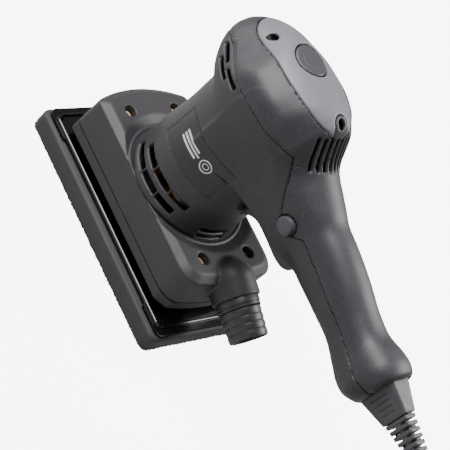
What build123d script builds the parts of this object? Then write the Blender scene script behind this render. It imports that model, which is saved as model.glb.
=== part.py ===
"""Half-sheet orbital sander with a rear handle.

Frame: +Z up, origin on the pad's working face under the motor axis.
+X points to the handle end, -Y is the side with the lock button.
"""
import math
import os

from build123d import *

os.makedirs("parts", exist_ok=True)

# ---------------------------------------------------------------- driving dimensions (mm)
PAD_L = 208.0                  # pad length and width: a standard half-sheet pad
PAD_W = 115.0
PAD_CORNER = 8.0
HOOK_T = 1.8                   # hook-and-loop layer
PAD_TOP = 17.0                 # top of the foam pad
PLATE_TOP = 20.0               # top of the pad plate
ORBIT = 1.5                    # eccentricity: the pad moves in a circle of 3 mm
SKIRT_BOTTOM = 29.5
SHROUD_BOTTOM = 38.0
SHROUD_TOP = 70.0
SHROUD_WALL = 3.0
BARREL_R = 47.0                # motor barrel, outside
BARREL_WALL = 3.2
BARREL_FOOT_R = 50.5           # the ring that stands in the shroud's dish
BARREL_NECK_R = 45.4           # below the foot, through the shroud's roof
BARREL_BOTTOM = 60.0
BARREL_TOP = 124.0             # where it runs into the head
SHELL_WALL = 3.0               # head and handle shells
SEAM_GAP = 0.25
CLEAR = 0.02                   # between pieces pressed together
RUN = 0.05                     # running fit on pins and shafts
SHAFT_R = 5.0
SCREW_R = 2.2                  # shank radius of the housing screws
CORD_D = 7.5
CORD_LENGTH = 2500.0
COIL_MEAN_D = 81.5
COIL_TURNS_WIDE = 3


def save(builder, name):
    """Label a finished piece and write it as its own STEP file."""
    builder.part.label = name
    export_step(builder.part, "parts/" + name + ".step")


def tube(radius_out, radius_in, bottom, top, centre=(0.0, 0.0)):
    """A plain ring about a vertical axis."""
    with BuildPart() as ring:
        with BuildSketch(Plane.XY.offset(bottom)):
            with Locations(centre):
                Circle(radius_out)
                if radius_in > 0:
                    Circle(radius_in, mode=Mode.SUBTRACT)
        extrude(amount=top - bottom)
    return ring


# ---------------------------------------------------------------- pad, on the eccentric
PAD_SCREW_X = 92.0
PAD_SCREW_Y = 45.0
PAD_SCREW_HEAD_R = 4.2
PAD_SCREW_HEAD_H = 2.4
PAD_SCREW_BOTTOM = 8.0
HUB_R = 21.5
HUB_TOP = 36.0
ECC_BEARING_R = 17.5           # 15 x 35 x 11 ball bearing
ECC_PIN_R = 7.5
ECC_BEARING_BOTTOM = 23.5
ECC_BEARING_TOP = 34.5
pad_screw_places = [(x, y) for x in (-PAD_SCREW_X, PAD_SCREW_X) for y in (-PAD_SCREW_Y, PAD_SCREW_Y)]

with BuildPart() as hook_face:
    with BuildSketch():
        RectangleRounded(PAD_L, PAD_W, PAD_CORNER)
    extrude(amount=HOOK_T)
save(hook_face, "hook_face")

PAD_BEVEL = 2.0
with BuildPart() as foam_pad:
    with BuildSketch(Plane.XY.offset(HOOK_T)):
        RectangleRounded(PAD_L, PAD_W, PAD_CORNER)
    extrude(amount=PAD_TOP - HOOK_T)
    chamfer(foam_pad.faces().sort_by(Axis.Z)[-1].edges(), PAD_BEVEL)
    with BuildSketch(Plane.XY.offset(PAD_TOP)):
        with Locations(*pad_screw_places):
            Circle(SCREW_R + CLEAR)
    extrude(amount=PAD_SCREW_BOTTOM - PAD_TOP, mode=Mode.SUBTRACT)
save(foam_pad, "foam_pad")

PLATE_L = 203.0
PLATE_W = 105.5
PLATE_CORNER = 6.0
PLATE_NECK = 4.5               # depth of the step along the long edges
PLATE_NECK_L = 146.0
with BuildPart() as pad_plate:
    with BuildSketch(Plane.XY.offset(PAD_TOP)) as outline:
        RectangleRounded(PLATE_L, PLATE_W, PLATE_CORNER)
        with Locations((0, -PLATE_W / 2), (0, PLATE_W / 2)):
            Rectangle(PLATE_NECK_L, 2 * PLATE_NECK, mode=Mode.SUBTRACT)
        fillet([v for v in outline.vertices() if abs(abs(v.X) - PLATE_NECK_L / 2) < 0.1], 2.0)
    extrude(amount=PLATE_TOP - PAD_TOP)
    with BuildSketch(Plane.XY.offset(PLATE_TOP)):
        Circle(HUB_R)
    extrude(amount=HUB_TOP - PLATE_TOP)
    with BuildSketch(Plane.XY.offset(ECC_BEARING_BOTTOM)):
        with Locations((ORBIT, 0)):
            Circle(ECC_BEARING_R + CLEAR)
    extrude(amount=HUB_TOP - ECC_BEARING_BOTTOM, mode=Mode.SUBTRACT)
    for x, y in pad_screw_places:
        with BuildSketch(Plane.XY.offset(PAD_TOP)):
            with Locations((x, y)):
                Circle(SCREW_R + CLEAR)
        extrude(amount=PLATE_TOP - PAD_TOP, mode=Mode.SUBTRACT)
        with BuildSketch(Plane.XY.offset(PLATE_TOP)):
            with Locations((x, y)):
                Circle(PAD_SCREW_HEAD_R + CLEAR)
        extrude(amount=-PAD_SCREW_HEAD_H, mode=Mode.SUBTRACT)
save(pad_plate, "pad_plate")

SOCKET_R = 1.5
with BuildPart() as pad_plate_screws:
    for x, y in pad_screw_places:
        with BuildSketch(Plane.XY.offset(PAD_SCREW_BOTTOM)):
            with Locations((x, y)):
                Circle(SCREW_R)
        extrude(amount=PLATE_TOP - PAD_SCREW_HEAD_H - PAD_SCREW_BOTTOM)
        with BuildSketch(Plane.XY.offset(PLATE_TOP - PAD_SCREW_HEAD_H)):
            with Locations((x, y)):
                Circle(PAD_SCREW_HEAD_R)
        extrude(amount=PAD_SCREW_HEAD_H)
        with BuildSketch(Plane.XY.offset(PLATE_TOP)):
            with Locations((x, y)):
                RegularPolygon(SOCKET_R, 6)
        extrude(amount=-SOCKET_R, mode=Mode.SUBTRACT)
save(pad_plate_screws, "pad_plate_screws")

eccentric_bearing = tube(ECC_BEARING_R, ECC_PIN_R + RUN, ECC_BEARING_BOTTOM, ECC_BEARING_TOP, (ORBIT, 0))
save(eccentric_bearing, "eccentric_bearing")

# ---------------------------------------------------------------- rotor
PIN_BOTTOM = 24.5
PIN_TOP = 37.5
SHAFT_TOP = 157.0
WEIGHT_BOTTOM = 38.0
WEIGHT_TOP = 46.0
WEIGHT_R = 30.0
WEIGHT_HUB_R = 10.0
FAN_BOTTOM = 47.0
FAN_TOP = 57.0
FAN_R = 38.0
FAN_BLADES = 12
CORE_BOTTOM = 80.0             # armature and field laminations
CORE_TOP = 116.0
ROTOR_R = 21.0
COMMUTATOR_R = 13.0
COMMUTATOR_BOTTOM = 128.0
COMMUTATOR_TOP = 142.0
UPPER_SHAFT_R = 4.0
UPPER_SEAT = 148.0

with BuildPart() as shaft:
    with BuildSketch(Plane.XY.offset(PIN_BOTTOM)):
        with Locations((ORBIT, 0)):
            Circle(ECC_PIN_R)
    extrude(amount=PIN_TOP - PIN_BOTTOM)
    with BuildSketch(Plane.XY.offset(PIN_TOP)):
        Circle(SHAFT_R)
    extrude(amount=UPPER_SEAT - PIN_TOP)
    with BuildSketch(Plane.XY.offset(UPPER_SEAT)):
        Circle(UPPER_SHAFT_R)
    extrude(amount=SHAFT_TOP - UPPER_SEAT)
save(shaft, "shaft")

with BuildPart() as counterweight:
    with BuildSketch(Plane.XY.offset(WEIGHT_BOTTOM)):
        Circle(WEIGHT_R)
        with Locations((WEIGHT_R / 2 + SHAFT_R, 0)):
            Rectangle(WEIGHT_R, 2 * WEIGHT_R, mode=Mode.SUBTRACT)
        Circle(WEIGHT_HUB_R)
        Circle(SHAFT_R + CLEAR, mode=Mode.SUBTRACT)
    extrude(amount=WEIGHT_TOP - WEIGHT_BOTTOM)
save(counterweight, "counterweight")

FAN_DISC_T = 1.6
FAN_HUB_R = 11.0
BLADE_T = 1.4
with BuildPart() as fan:
    with BuildSketch(Plane.XY.offset(FAN_BOTTOM)):
        Circle(FAN_HUB_R)
    extrude(amount=FAN_TOP - FAN_BOTTOM)
    with BuildSketch(Plane.XY.offset(FAN_TOP - FAN_DISC_T)):
        Circle(FAN_R)
    extrude(amount=FAN_DISC_T)
    with BuildSketch(Plane.XY.offset(FAN_BOTTOM)):
        with PolarLocations((FAN_HUB_R + FAN_R) / 2, FAN_BLADES):
            Rectangle(FAN_R - FAN_HUB_R + 1, BLADE_T)
    extrude(amount=FAN_TOP - FAN_BOTTOM)
    with BuildSketch(Plane.XY.offset(FAN_BOTTOM)):
        Circle(SHAFT_R + CLEAR)
    extrude(amount=FAN_TOP - FAN_BOTTOM, mode=Mode.SUBTRACT)
save(fan, "fan")

ROTOR_SLOTS = 12
with BuildPart() as rotor_core:
    with BuildSketch(Plane.XY.offset(CORE_BOTTOM)):
        Circle(ROTOR_R)
        with PolarLocations(ROTOR_R, ROTOR_SLOTS):
            Rectangle(3.0, 1.6, mode=Mode.SUBTRACT)
        Circle(SHAFT_R + CLEAR, mode=Mode.SUBTRACT)
    extrude(amount=CORE_TOP - CORE_BOTTOM)
save(rotor_core, "rotor_core")

END_TURN_H = 8.0
END_TURN_R = 18.5
with BuildPart() as rotor_windings:
    for bottom in (CORE_BOTTOM - END_TURN_H, CORE_TOP):
        with BuildSketch(Plane.XY.offset(bottom)):
            Circle(END_TURN_R)
            Circle(SHAFT_R + CLEAR, mode=Mode.SUBTRACT)
        extrude(amount=END_TURN_H)
save(rotor_windings, "rotor_windings")

COMMUTATOR_BARS = 24
with BuildPart() as commutator:
    with BuildSketch(Plane.XY.offset(COMMUTATOR_BOTTOM)):
        Circle(COMMUTATOR_R)
        with PolarLocations(COMMUTATOR_R, COMMUTATOR_BARS):
            Rectangle(1.6, 0.5, mode=Mode.SUBTRACT)
        Circle(SHAFT_R + CLEAR, mode=Mode.SUBTRACT)
    extrude(amount=COMMUTATOR_TOP - COMMUTATOR_BOTTOM)
save(commutator, "commutator")

# ---------------------------------------------------------------- motor parts fixed in the housing
LOWER_BEARING_R = 13.0         # 10 x 26 x 8 ball bearing
LOWER_BEARING_BOTTOM = 61.0
LOWER_BEARING_TOP = 69.0
UPPER_BEARING_R = 11.0         # 8 x 22 x 7 ball bearing
UPPER_BEARING_BOTTOM = 148.5
UPPER_BEARING_TOP = 155.5
BRIDGE_R = BARREL_R - BARREL_WALL - 0.1
BRIDGE_BOTTOM = 60.5
BRIDGE_TOP = 65.0
FIELD_R_IN = 22.0
FIELD_R_OUT = 40.0
BRACKET_BOTTOM = 144.0
BRACKET_TOP = 156.0

save(tube(LOWER_BEARING_R, SHAFT_R + RUN, LOWER_BEARING_BOTTOM, LOWER_BEARING_TOP), "lower_bearing")
save(tube(UPPER_BEARING_R, UPPER_SHAFT_R + RUN, UPPER_BEARING_BOTTOM, UPPER_BEARING_TOP), "upper_bearing")

with BuildPart() as bearing_bridge:
    with BuildSketch(Plane.XY.offset(BRIDGE_BOTTOM)):
        Circle(BRIDGE_R)
        with PolarLocations(30.0, 8, start_angle=22.5):
            Circle(7.0, mode=Mode.SUBTRACT)
    extrude(amount=BRIDGE_TOP - BRIDGE_BOTTOM)
    with BuildSketch(Plane.XY.offset(BRIDGE_BOTTOM)):
        Circle(LOWER_BEARING_R + 4)
    extrude(amount=LOWER_BEARING_TOP + 1 - BRIDGE_BOTTOM)
    with BuildSketch(Plane.XY.offset(BRIDGE_BOTTOM)):
        Circle(SHAFT_R + 2)
    extrude(amount=LOWER_BEARING_TOP + 1 - BRIDGE_BOTTOM, mode=Mode.SUBTRACT)
    with BuildSketch(Plane.XY.offset(BRIDGE_BOTTOM)):
        Circle(LOWER_BEARING_R + CLEAR)
    extrude(amount=LOWER_BEARING_TOP - BRIDGE_BOTTOM, mode=Mode.SUBTRACT)
save(bearing_bridge, "bearing_bridge")

with BuildPart() as motor_bracket:
    with BuildSketch(Plane.XY.offset(BRACKET_BOTTOM)):
        Rectangle(2 * BRIDGE_R - 4, 30.0)
        Circle(UPPER_BEARING_R + 4)
    extrude(amount=4.0)
    with BuildSketch(Plane.XY.offset(BRACKET_BOTTOM)):
        Circle(UPPER_BEARING_R + 4)
    extrude(amount=BRACKET_TOP - BRACKET_BOTTOM)
    with BuildSketch(Plane.XY.offset(BRACKET_BOTTOM)):
        Circle(UPPER_SHAFT_R + 3)
    extrude(amount=BRACKET_TOP - BRACKET_BOTTOM, mode=Mode.SUBTRACT)
    with BuildSketch(Plane.XY.offset(BRACKET_TOP)):
        Circle(UPPER_BEARING_R + CLEAR)
    extrude(amount=UPPER_BEARING_BOTTOM - BRACKET_TOP, mode=Mode.SUBTRACT)
save(motor_bracket, "motor_bracket")

with BuildPart() as field_core:
    with BuildSketch(Plane.XY.offset(CORE_BOTTOM)):
        Circle(FIELD_R_OUT)
        with Locations((0, FIELD_R_OUT + 6), (0, -FIELD_R_OUT - 6)):
            Rectangle(2 * FIELD_R_OUT, 20.0, mode=Mode.SUBTRACT)
        Circle(FIELD_R_IN, mode=Mode.SUBTRACT)
    extrude(amount=CORE_TOP - CORE_BOTTOM)
save(field_core, "field_core")

FIELD_COIL_H = 9.0
with BuildPart() as field_windings:
    for bottom in (CORE_BOTTOM - FIELD_COIL_H, CORE_TOP):
        with BuildSketch(Plane.XY.offset(bottom)):
            Circle(34.0)
            Circle(24.0, mode=Mode.SUBTRACT)
            Rectangle(12.0, 80.0, mode=Mode.SUBTRACT)
        extrude(amount=FIELD_COIL_H)
save(field_windings, "field_windings")

BRUSH_Z = 131.0
BRUSH_H = 9.0
BRUSH_W = 6.0
BRUSH_OUT = 30.0
HOLDER_WALL = 1.5
BRUSH_IN = COMMUTATOR_R + 0.3
with BuildPart() as carbon_brushes:
    with BuildSketch(Plane.XY.offset(BRUSH_Z)):
        for side in (-1, 1):
            with Locations((0, side * (BRUSH_IN + BRUSH_OUT) / 2)):
                Rectangle(BRUSH_W, BRUSH_OUT - BRUSH_IN)
    extrude(amount=BRUSH_H)
save(carbon_brushes, "carbon_brushes")

with BuildPart() as brush_holders:
    with BuildSketch(Plane.XY.offset(BRUSH_Z - HOLDER_WALL)):
        for side in (-1, 1):
            with Locations((0, side * (16.0 + 34.0) / 2)):
                Rectangle(BRUSH_W + 2 * HOLDER_WALL, 18.0)
    extrude(amount=BRUSH_H + 2 * HOLDER_WALL)
    with BuildSketch(Plane.XY.offset(BRUSH_Z - CLEAR)):
        for side in (-1, 1):
            with Locations((0, side * 23.0)):
                Rectangle(BRUSH_W + 2 * CLEAR, 18.0)
    extrude(amount=BRUSH_H + 2 * CLEAR, mode=Mode.SUBTRACT)
save(brush_holders, "brush_holders")

# ---------------------------------------------------------------- shroud and skirt
FRONT_X = 88.5                 # outline of the shroud at its lower edge
REAR_X = 88.0
SIDE_Y = 49.5


def shroud_outline(inset=0.0, more_rear=0.0):
    """Bowed front and rear, straight sides, cut rear corners."""
    front = -FRONT_X + inset
    rear = REAR_X - inset - more_rear
    side = SIDE_Y - inset
    with BuildLine() as line:
        ThreePointArc((front + 9.5, side), (front, 0), (front + 9.5, -side))
        Line((front + 9.5, -side), (rear - 14.5, -side))
        Line((rear - 14.5, -side), (rear - 4.5, -side + 7.0))
        ThreePointArc((rear - 4.5, -side + 7.0), (rear, 0), (rear - 4.5, side - 7.0))
        Line((rear - 4.5, side - 7.0), (rear - 14.5, side))
        Line((rear - 14.5, side), (front + 9.5, side))
    return line


def outline_plate(bottom, height, inset=0.0):
    """The shroud's outline as a solid plate."""
    with BuildPart() as plate:
        with BuildSketch(Plane.XY.offset(bottom)) as face:
            add(shroud_outline(inset))
            make_face()
            fillet(face.vertices(), 4.0)
        extrude(amount=height)
    return plate.part


SKIRT_LIP_TOP = 41.0
skirt_top = SHROUD_BOTTOM - 0.5
with BuildPart() as skirt:
    add(outline_plate(SKIRT_BOTTOM, skirt_top - SKIRT_BOTTOM))
    add(outline_plate(skirt_top, SKIRT_LIP_TOP - skirt_top, SHROUD_WALL + CLEAR))
    add(outline_plate(SKIRT_BOTTOM, SKIRT_LIP_TOP - SKIRT_BOTTOM, 2 * SHROUD_WALL), mode=Mode.SUBTRACT)
save(skirt, "skirt")

SCREW_X = 65.7
SCREW_Y = 25.2
SCREW_HEAD_R = 4.6
SCREW_HOLE_R = 5.1
SCREW_SEAT = 58.0
SCREW_HEAD_H = 3.4
SCREW_BOTTOM = 47.0
POST_R = 7.5
DISH_R = 62.5                  # conical dish round the motor barrel
DISH_INNER_R = 54.5
DISH_BOTTOM = 66.0
ROOF_UNDER = 61.0
SHROUD_STEP = 65.5             # where the side walls turn into the bevelled top edge
TOP_INSET = 7.0
TOP_MORE_REAR = 1.5
LEG_X = 69.0
LEG_Y = 34.0
LEG_R = 7.0
LEG_BOTTOM = PLATE_TOP + 0.3
LEG_TOP = 46.0
PORT_MOUTH = Vector(130.0, 0.0, 53.0)
PORT_DIR = Vector(0.98, 0.0, -0.199).normalized()
ELBOW_R = 19.0
PORT_BORE_R = 13.5             # inside of the nozzle
ELBOW_BORE_R = 14.5
ELBOW_BACK = 46.0              # distances back from the mouth, along the port axis
ELBOW_FRONT = 31.5
COLLAR_FRONT = 23.5
shroud_screw_places = [(x, y) for x in (-SCREW_X, SCREW_X) for y in (-SCREW_Y, SCREW_Y)]
leg_places = [(x, y) for x in (-LEG_X, LEG_X) for y in (-LEG_Y, LEG_Y)]


def port_plane(back):
    """A plane across the dust port, a distance back from its mouth."""
    return Plane(origin=PORT_MOUTH - PORT_DIR * back, z_dir=PORT_DIR)


def elbow_solid():
    """The dust port's elbow: a round end that grows out of the shroud, then a straight neck."""
    with BuildPart() as elbow:
        with BuildSketch(Plane(origin=PORT_MOUTH, x_dir=(0, 1, 0), z_dir=PORT_DIR.cross(Vector(0, 1, 0)))):
            with BuildLine():
                CenterArc((0, ELBOW_BACK), ELBOW_R, 0, 90)
                Polyline((ELBOW_R, ELBOW_BACK), (ELBOW_R, ELBOW_FRONT), (0, ELBOW_FRONT),
                         (0, ELBOW_BACK + ELBOW_R))
            make_face()
        revolve(axis=Axis(PORT_MOUTH, PORT_DIR))
    return elbow.part


with BuildPart() as shroud:
    add(outline_plate(SHROUD_BOTTOM, SHROUD_STEP - SHROUD_BOTTOM))
    for level, inset, more_rear in ((SHROUD_STEP, 0.0, 0.0), (SHROUD_TOP, TOP_INSET, TOP_MORE_REAR)):
        with BuildSketch(Plane.XY.offset(level)) as face:
            add(shroud_outline(inset, more_rear))
            make_face()
            fillet(face.vertices(), 4.0)
    loft()
    add(outline_plate(SHROUD_BOTTOM, ROOF_UNDER - SHROUD_BOTTOM, SHROUD_WALL), mode=Mode.SUBTRACT)
    with BuildSketch(Plane.XY.offset(LEG_TOP)):
        with Locations(*shroud_screw_places):
            Circle(POST_R)
    extrude(amount=SHROUD_TOP - LEG_TOP - 2)
    with BuildSketch(Plane.XY.offset(LEG_TOP)):
        with Locations(*leg_places):
            Circle(LEG_R)
    extrude(amount=SHROUD_TOP - LEG_TOP - 6)
    add(elbow_solid())
    with BuildSketch(Plane.XY.offset(SHROUD_TOP)):
        Circle(DISH_R)
    with BuildSketch(Plane.XY.offset(DISH_BOTTOM)):
        Circle(DISH_INNER_R)
    loft(mode=Mode.SUBTRACT)
    with BuildSketch(Plane.XY.offset(BARREL_BOTTOM - 4)):
        Circle(BARREL_NECK_R + 0.3)
    extrude(amount=SHROUD_TOP - BARREL_BOTTOM, mode=Mode.SUBTRACT)
    with BuildSketch(port_plane(ELBOW_BACK + 8)):
        Circle(ELBOW_BORE_R)
    extrude(amount=ELBOW_BACK + 8 - ELBOW_FRONT, mode=Mode.SUBTRACT)
    for x, y in shroud_screw_places:
        with BuildSketch(Plane.XY.offset(SHROUD_BOTTOM)):
            with Locations((x, y)):
                Circle(SCREW_R + CLEAR)
        extrude(amount=SHROUD_TOP - SHROUD_BOTTOM, mode=Mode.SUBTRACT)
        with BuildSketch(Plane.XY.offset(SCREW_SEAT)):
            with Locations((x, y)):
                Circle(SCREW_HOLE_R)
        extrude(amount=SHROUD_TOP - SCREW_SEAT, mode=Mode.SUBTRACT)
save(shroud, "shroud")

with BuildPart() as shroud_screws:
    for x, y in shroud_screw_places:
        with BuildSketch(Plane.XY.offset(SCREW_BOTTOM)):
            with Locations((x, y)):
                Circle(SCREW_R)
        extrude(amount=SCREW_SEAT + 0.1 - SCREW_BOTTOM)
        with BuildSketch(Plane.XY.offset(SCREW_SEAT)):
            with Locations((x, y)):
                Circle(SCREW_HEAD_R)
        extrude(amount=SCREW_HEAD_H)
        with BuildSketch(Plane.XY.offset(SCREW_SEAT + SCREW_HEAD_H)):
            with Locations((x, y)):
                Rectangle(4.6, 1.2)
                Rectangle(1.2, 4.6)
        extrude(amount=-1.6, mode=Mode.SUBTRACT)
save(shroud_screws, "shroud_screws")

with BuildPart() as pad_legs:
    for x, y in leg_places:
        with BuildSketch(Plane.XY.offset(LEG_BOTTOM)):
            with Locations((x, y)):
                Circle(LEG_R)
        with BuildSketch(Plane.XY.offset((LEG_BOTTOM + LEG_TOP) / 2)):
            with Locations((x, y)):
                Circle(LEG_R - 2)
        loft()
        with BuildSketch(Plane.XY.offset((LEG_BOTTOM + LEG_TOP) / 2)):
            with Locations((x, y)):
                Circle(LEG_R - 2)
        with BuildSketch(Plane.XY.offset(LEG_TOP)):
            with Locations((x, y)):
                Circle(LEG_R)
        loft()
save(pad_legs, "pad_legs")

# ---------------------------------------------------------------- dust port
COLLAR_R = 17.2
NOZZLE_BACK_R = 16.3
NOZZLE_MOUTH_R = 15.6
NOZZLE_RIBS = 4
RIB_STEP = 0.9
with BuildPart() as port_collar:
    with BuildSketch(port_plane(ELBOW_FRONT)):
        Circle(COLLAR_R)
        Circle(ELBOW_BORE_R, mode=Mode.SUBTRACT)
    extrude(amount=ELBOW_FRONT - COLLAR_FRONT)
save(port_collar, "port_collar")

nozzle_back = COLLAR_FRONT - 0.4
rib_length = nozzle_back / NOZZLE_RIBS
with BuildPart() as dust_nozzle:
    for rib in range(NOZZLE_RIBS):
        back = nozzle_back - rib * rib_length
        rib_r = NOZZLE_BACK_R - rib * (NOZZLE_BACK_R - NOZZLE_MOUTH_R) / (NOZZLE_RIBS - 1)
        with BuildSketch(port_plane(back)):
            Circle(rib_r)
        with BuildSketch(port_plane(back - rib_length)):
            Circle(rib_r - RIB_STEP)
        loft()
    with BuildSketch(port_plane(nozzle_back)):
        Circle(PORT_BORE_R)
    extrude(amount=nozzle_back, mode=Mode.SUBTRACT)
save(dust_nozzle, "dust_nozzle")

# ---------------------------------------------------------------- housing shells
# Levels of the head: height, reach to the front, reach to the rear, half width.
HEAD_LEVELS = [
    (120.0, 46.9, 46.9, 46.9),
    (136.0, 47.5, 47.0, 46.7),
    (148.0, 55.5, 50.0, 46.5),
    (158.0, 64.5, 56.0, 46.5),
    (168.0, 69.5, 64.0, 46.5),
    (180.0, 71.0, 72.0, 46.2),
    (190.0, 68.5, 73.0, 43.5),
    (200.0, 61.5, 66.0, 36.5),
    (208.0, 53.0, 58.5, 29.5),
    (215.0, 45.5, 51.5, 21.5),
    (220.0, 38.0, 44.0, 13.5),
    (222.5, 29.0, 32.0, 6.0),
]
# Stations of the handle: distance back, height of the centre, half height, half width.
HANDLE_STATIONS = [
    (30.0, 152.0, 30.0, 42.0),
    (56.0, 156.0, 31.0, 36.0),
    (70.0, 157.0, 30.0, 30.0),
    (84.0, 154.3, 27.0, 24.8),
    (100.0, 152.4, 26.3, 22.2),
    (120.0, 151.0, 25.2, 21.2),
    (145.0, 148.6, 23.2, 20.6),
    (170.0, 144.8, 21.2, 19.6),
    (186.0, 141.5, 23.0, 21.6),
    (200.0, 141.8, 25.3, 24.6),
    (211.0, 144.5, 23.0, 23.6),
    (218.0, 145.5, 19.5, 19.8),
]
# The seam between the lower and upper shells, seen from the side.
SEAM = [(-69.0, 178.5), (-55.0, 186.0), (-44.0, 188.5), (51.0, 188.5), (76.0, 155.0),
        (94.0, 150.0), (102.0, 156.5), (135.0, 152.0), (184.0, 145.5), (203.0, 144.0), (221.0, 146.0)]


CROWN_LEVEL = 180.0            # above it the inside of the head is set lower, under the cap
CROWN_DROP = 5.0


def head_solid(inset=0.0):
    """The head as a loft of egg-shaped levels; inset gives its inside."""
    rise = HEAD_LEVELS[-1][0] - CROWN_LEVEL
    with BuildPart() as head:
        for height, front, rear, half in HEAD_LEVELS:
            drop = CROWN_DROP * max(0.0, (height - CROWN_LEVEL) / rise) if inset else 0.0
            with BuildSketch(Plane.XY.offset(height - drop)):
                with BuildLine():
                    EllipticalCenterArc((0, 0), front - inset, half - inset, start_angle=90, arc_size=180)
                    EllipticalCenterArc((0, 0), rear - inset, half - inset, start_angle=270, arc_size=180)
                make_face()
        loft()
    return head.part


def handle_solid(inset=0.0):
    """The handle as a loft of oval stations."""
    with BuildPart() as grip:
        for back, middle, tall, half in HANDLE_STATIONS:
            at = min(back, HANDLE_STATIONS[-1][0] - inset)
            with BuildSketch(Plane.YZ.offset(at)):
                with Locations((0, middle)):
                    Ellipse(half - inset, tall - inset)
        loft()
    return grip.part


BARREL_SWELL = 1.7             # the barrel's middle stands out this much


def barrel_solid(radius, lower_points):
    """The motor barrel: lower_points are the corners of its foot, from the bottom up."""
    with BuildPart() as barrel:
        with BuildSketch(Plane.XZ):
            with BuildLine():
                Polyline((0, lower_points[0][1]), *lower_points, (radius + BARREL_SWELL, 82.0),
                         (radius + BARREL_SWELL, 101.0), (radius, 118.0), (radius, BARREL_TOP),
                         (0, BARREL_TOP), close=True)
            make_face()
        revolve(axis=Axis.Z)
    return barrel.part


# Cooling slots in the barrel: start and end angle about the motor axis, bottom, top.
SLOT_ROWS = [
    (-135, -104, 73.0, 77.5), (-102, -79, 73.0, 77.5), (-77, -56, 73.0, 77.5),
    (-122, -97, 83.5, 89.0), (-95, -72, 83.5, 89.0), (-70, -49, 83.5, 89.0),
    (-25, 6, 73.0, 77.0), (-25, 6, 67.5, 70.5),
]
HEAD_SLOTS = [(-150, -129, 181.7, 185.2), (-139, -115, 176.8, 180.3), (-122, -101, 181.7, 185.2)]
WEDGE_R = 85.0
VENT_COUNT = 9                 # slots in the slope behind the cap
VENT_PITCH = 4.8
VENT_L = 23.0
VENT_W = 2.8
VENT_MIDDLE = (61.0, 0.0, 203.5)
VENT_NORMAL = (0.72, 0.0, 0.69)
mirrored = SLOT_ROWS[:6] + HEAD_SLOTS
slots = SLOT_ROWS + HEAD_SLOTS + [(-end, -start, bottom, top) for start, end, bottom, top in mirrored]


def slot_cutters():
    """Wedges that cut the cooling slots through the walls of the barrel and the head."""
    with BuildPart() as wedges:
        for start, end, bottom, top in slots:
            first = math.radians(start)
            last = math.radians(end)
            with BuildSketch(Plane.XY.offset(bottom)):
                with BuildLine():
                    Polyline((0, 0), (WEDGE_R * math.cos(first), WEDGE_R * math.sin(first)),
                             (WEDGE_R * math.cos(last), WEDGE_R * math.sin(last)), close=True)
                make_face()
            extrude(amount=top - bottom)
    return wedges.part


def vent_cutters():
    """Round-ended slots through the slope behind the cap."""
    with BuildPart() as cutters:
        with BuildSketch(Plane(origin=VENT_MIDDLE, x_dir=(0, 1, 0), z_dir=VENT_NORMAL)):
            with GridLocations(VENT_PITCH, 1, VENT_COUNT, 1):
                SlotOverall(VENT_L, VENT_W, rotation=90)
        extrude(amount=10, both=True)
    return cutters.part


TRIGGER_HALF = 10.0
TRIGGER_GAP = 0.6
PIVOT_X = 62.0
PIVOT_Z = 132.0
PIVOT_PIN_R = 2.0
PIVOT_PIN_HALF = 16.0
BUTTON_X = 86.0
BUTTON_Z = 152.0
BUTTON_R = 7.5
BUTTON_FACE_Y = -28.5
BUTTON_STEM_R = 3.5
BUTTON_STEM_Y = -12.5
BUTTON_TRAVEL = 3.0
CAP_FRONT = 54.0               # plan of the top cap: reach to the front, to the rear, half width
CAP_REAR = 52.0
CAP_HALF = 27.5
CAP_T = 2.5
CAP_GAP = 0.3
CAP_BASE = 190.0               # a level below the whole cap
BADGE_X = -8.0
BADGE_R = 13.8
BADGE_GAP = 0.5
BADGE_T = 1.4
FRONT_CAP_SCREWS = [(-32.5, -21.5), (-32.5, 21.5)]
REAR_CAP_SCREW = (44.0, 0.0)
CAP_HOLE_R = 3.6
TOWER_R = 6.2
CAP_SCREW_LEVELS = [(-32.5, -21.5, 208.0), (-32.5, 21.5, 208.0), (44.0, 0.0, 210.0)]
HANDLE_SCREWS = [(128.0, 133.0), (176.0, 131.0), (205.0, 127.0)]   # x and height of the seat
HANDLE_POST_R = 5.0
LABEL_START = -122.0           # degrees about the motor axis
LABEL_END = -42.0
LABEL_BOTTOM = 106.0
LABEL_TOP = 139.0
LABEL_R = 46.6
LABEL_T = 0.9
BOOT_HOLE_Y = 20.6
BOOT_HOLE_Z = 34.6
BOOT_MID_Z = 144.0


def sector(radius, start, end, bottom, top):
    """A wedge of a disc, to cut or keep part of the barrel's wall."""
    first = math.radians(start)
    last = math.radians(end)
    middle = (first + last) / 2
    with BuildPart() as wedge:
        with BuildSketch(Plane.XY.offset(bottom)):
            with BuildLine():
                Line((0, 0), (radius * math.cos(first), radius * math.sin(first)))
                ThreePointArc((radius * math.cos(first), radius * math.sin(first)),
                              (radius * math.cos(middle), radius * math.sin(middle)),
                              (radius * math.cos(last), radius * math.sin(last)))
                Line((radius * math.cos(last), radius * math.sin(last)), (0, 0))
            make_face()
        extrude(amount=top - bottom)
    return wedge.part


def cap_plan(grow=0.0):
    """The cap's outline as a tall prism, with the notch for the rear screw tower."""
    with BuildPart() as prism:
        with BuildSketch(Plane.XY.offset(CAP_BASE)):
            with BuildLine():
                EllipticalCenterArc((0, 0), CAP_FRONT + grow, CAP_HALF + grow, start_angle=90, arc_size=180)
                EllipticalCenterArc((0, 0), CAP_REAR + grow, CAP_HALF + grow, start_angle=270, arc_size=180)
            make_face()
            with Locations(REAR_CAP_SCREW):
                Circle(TOWER_R - grow, mode=Mode.SUBTRACT)
            with Locations((REAR_CAP_SCREW[0] + 10, 0)):
                Rectangle(20, 2 * (TOWER_R - grow), mode=Mode.SUBTRACT)
        extrude(amount=50)
    return prism.part


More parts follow.
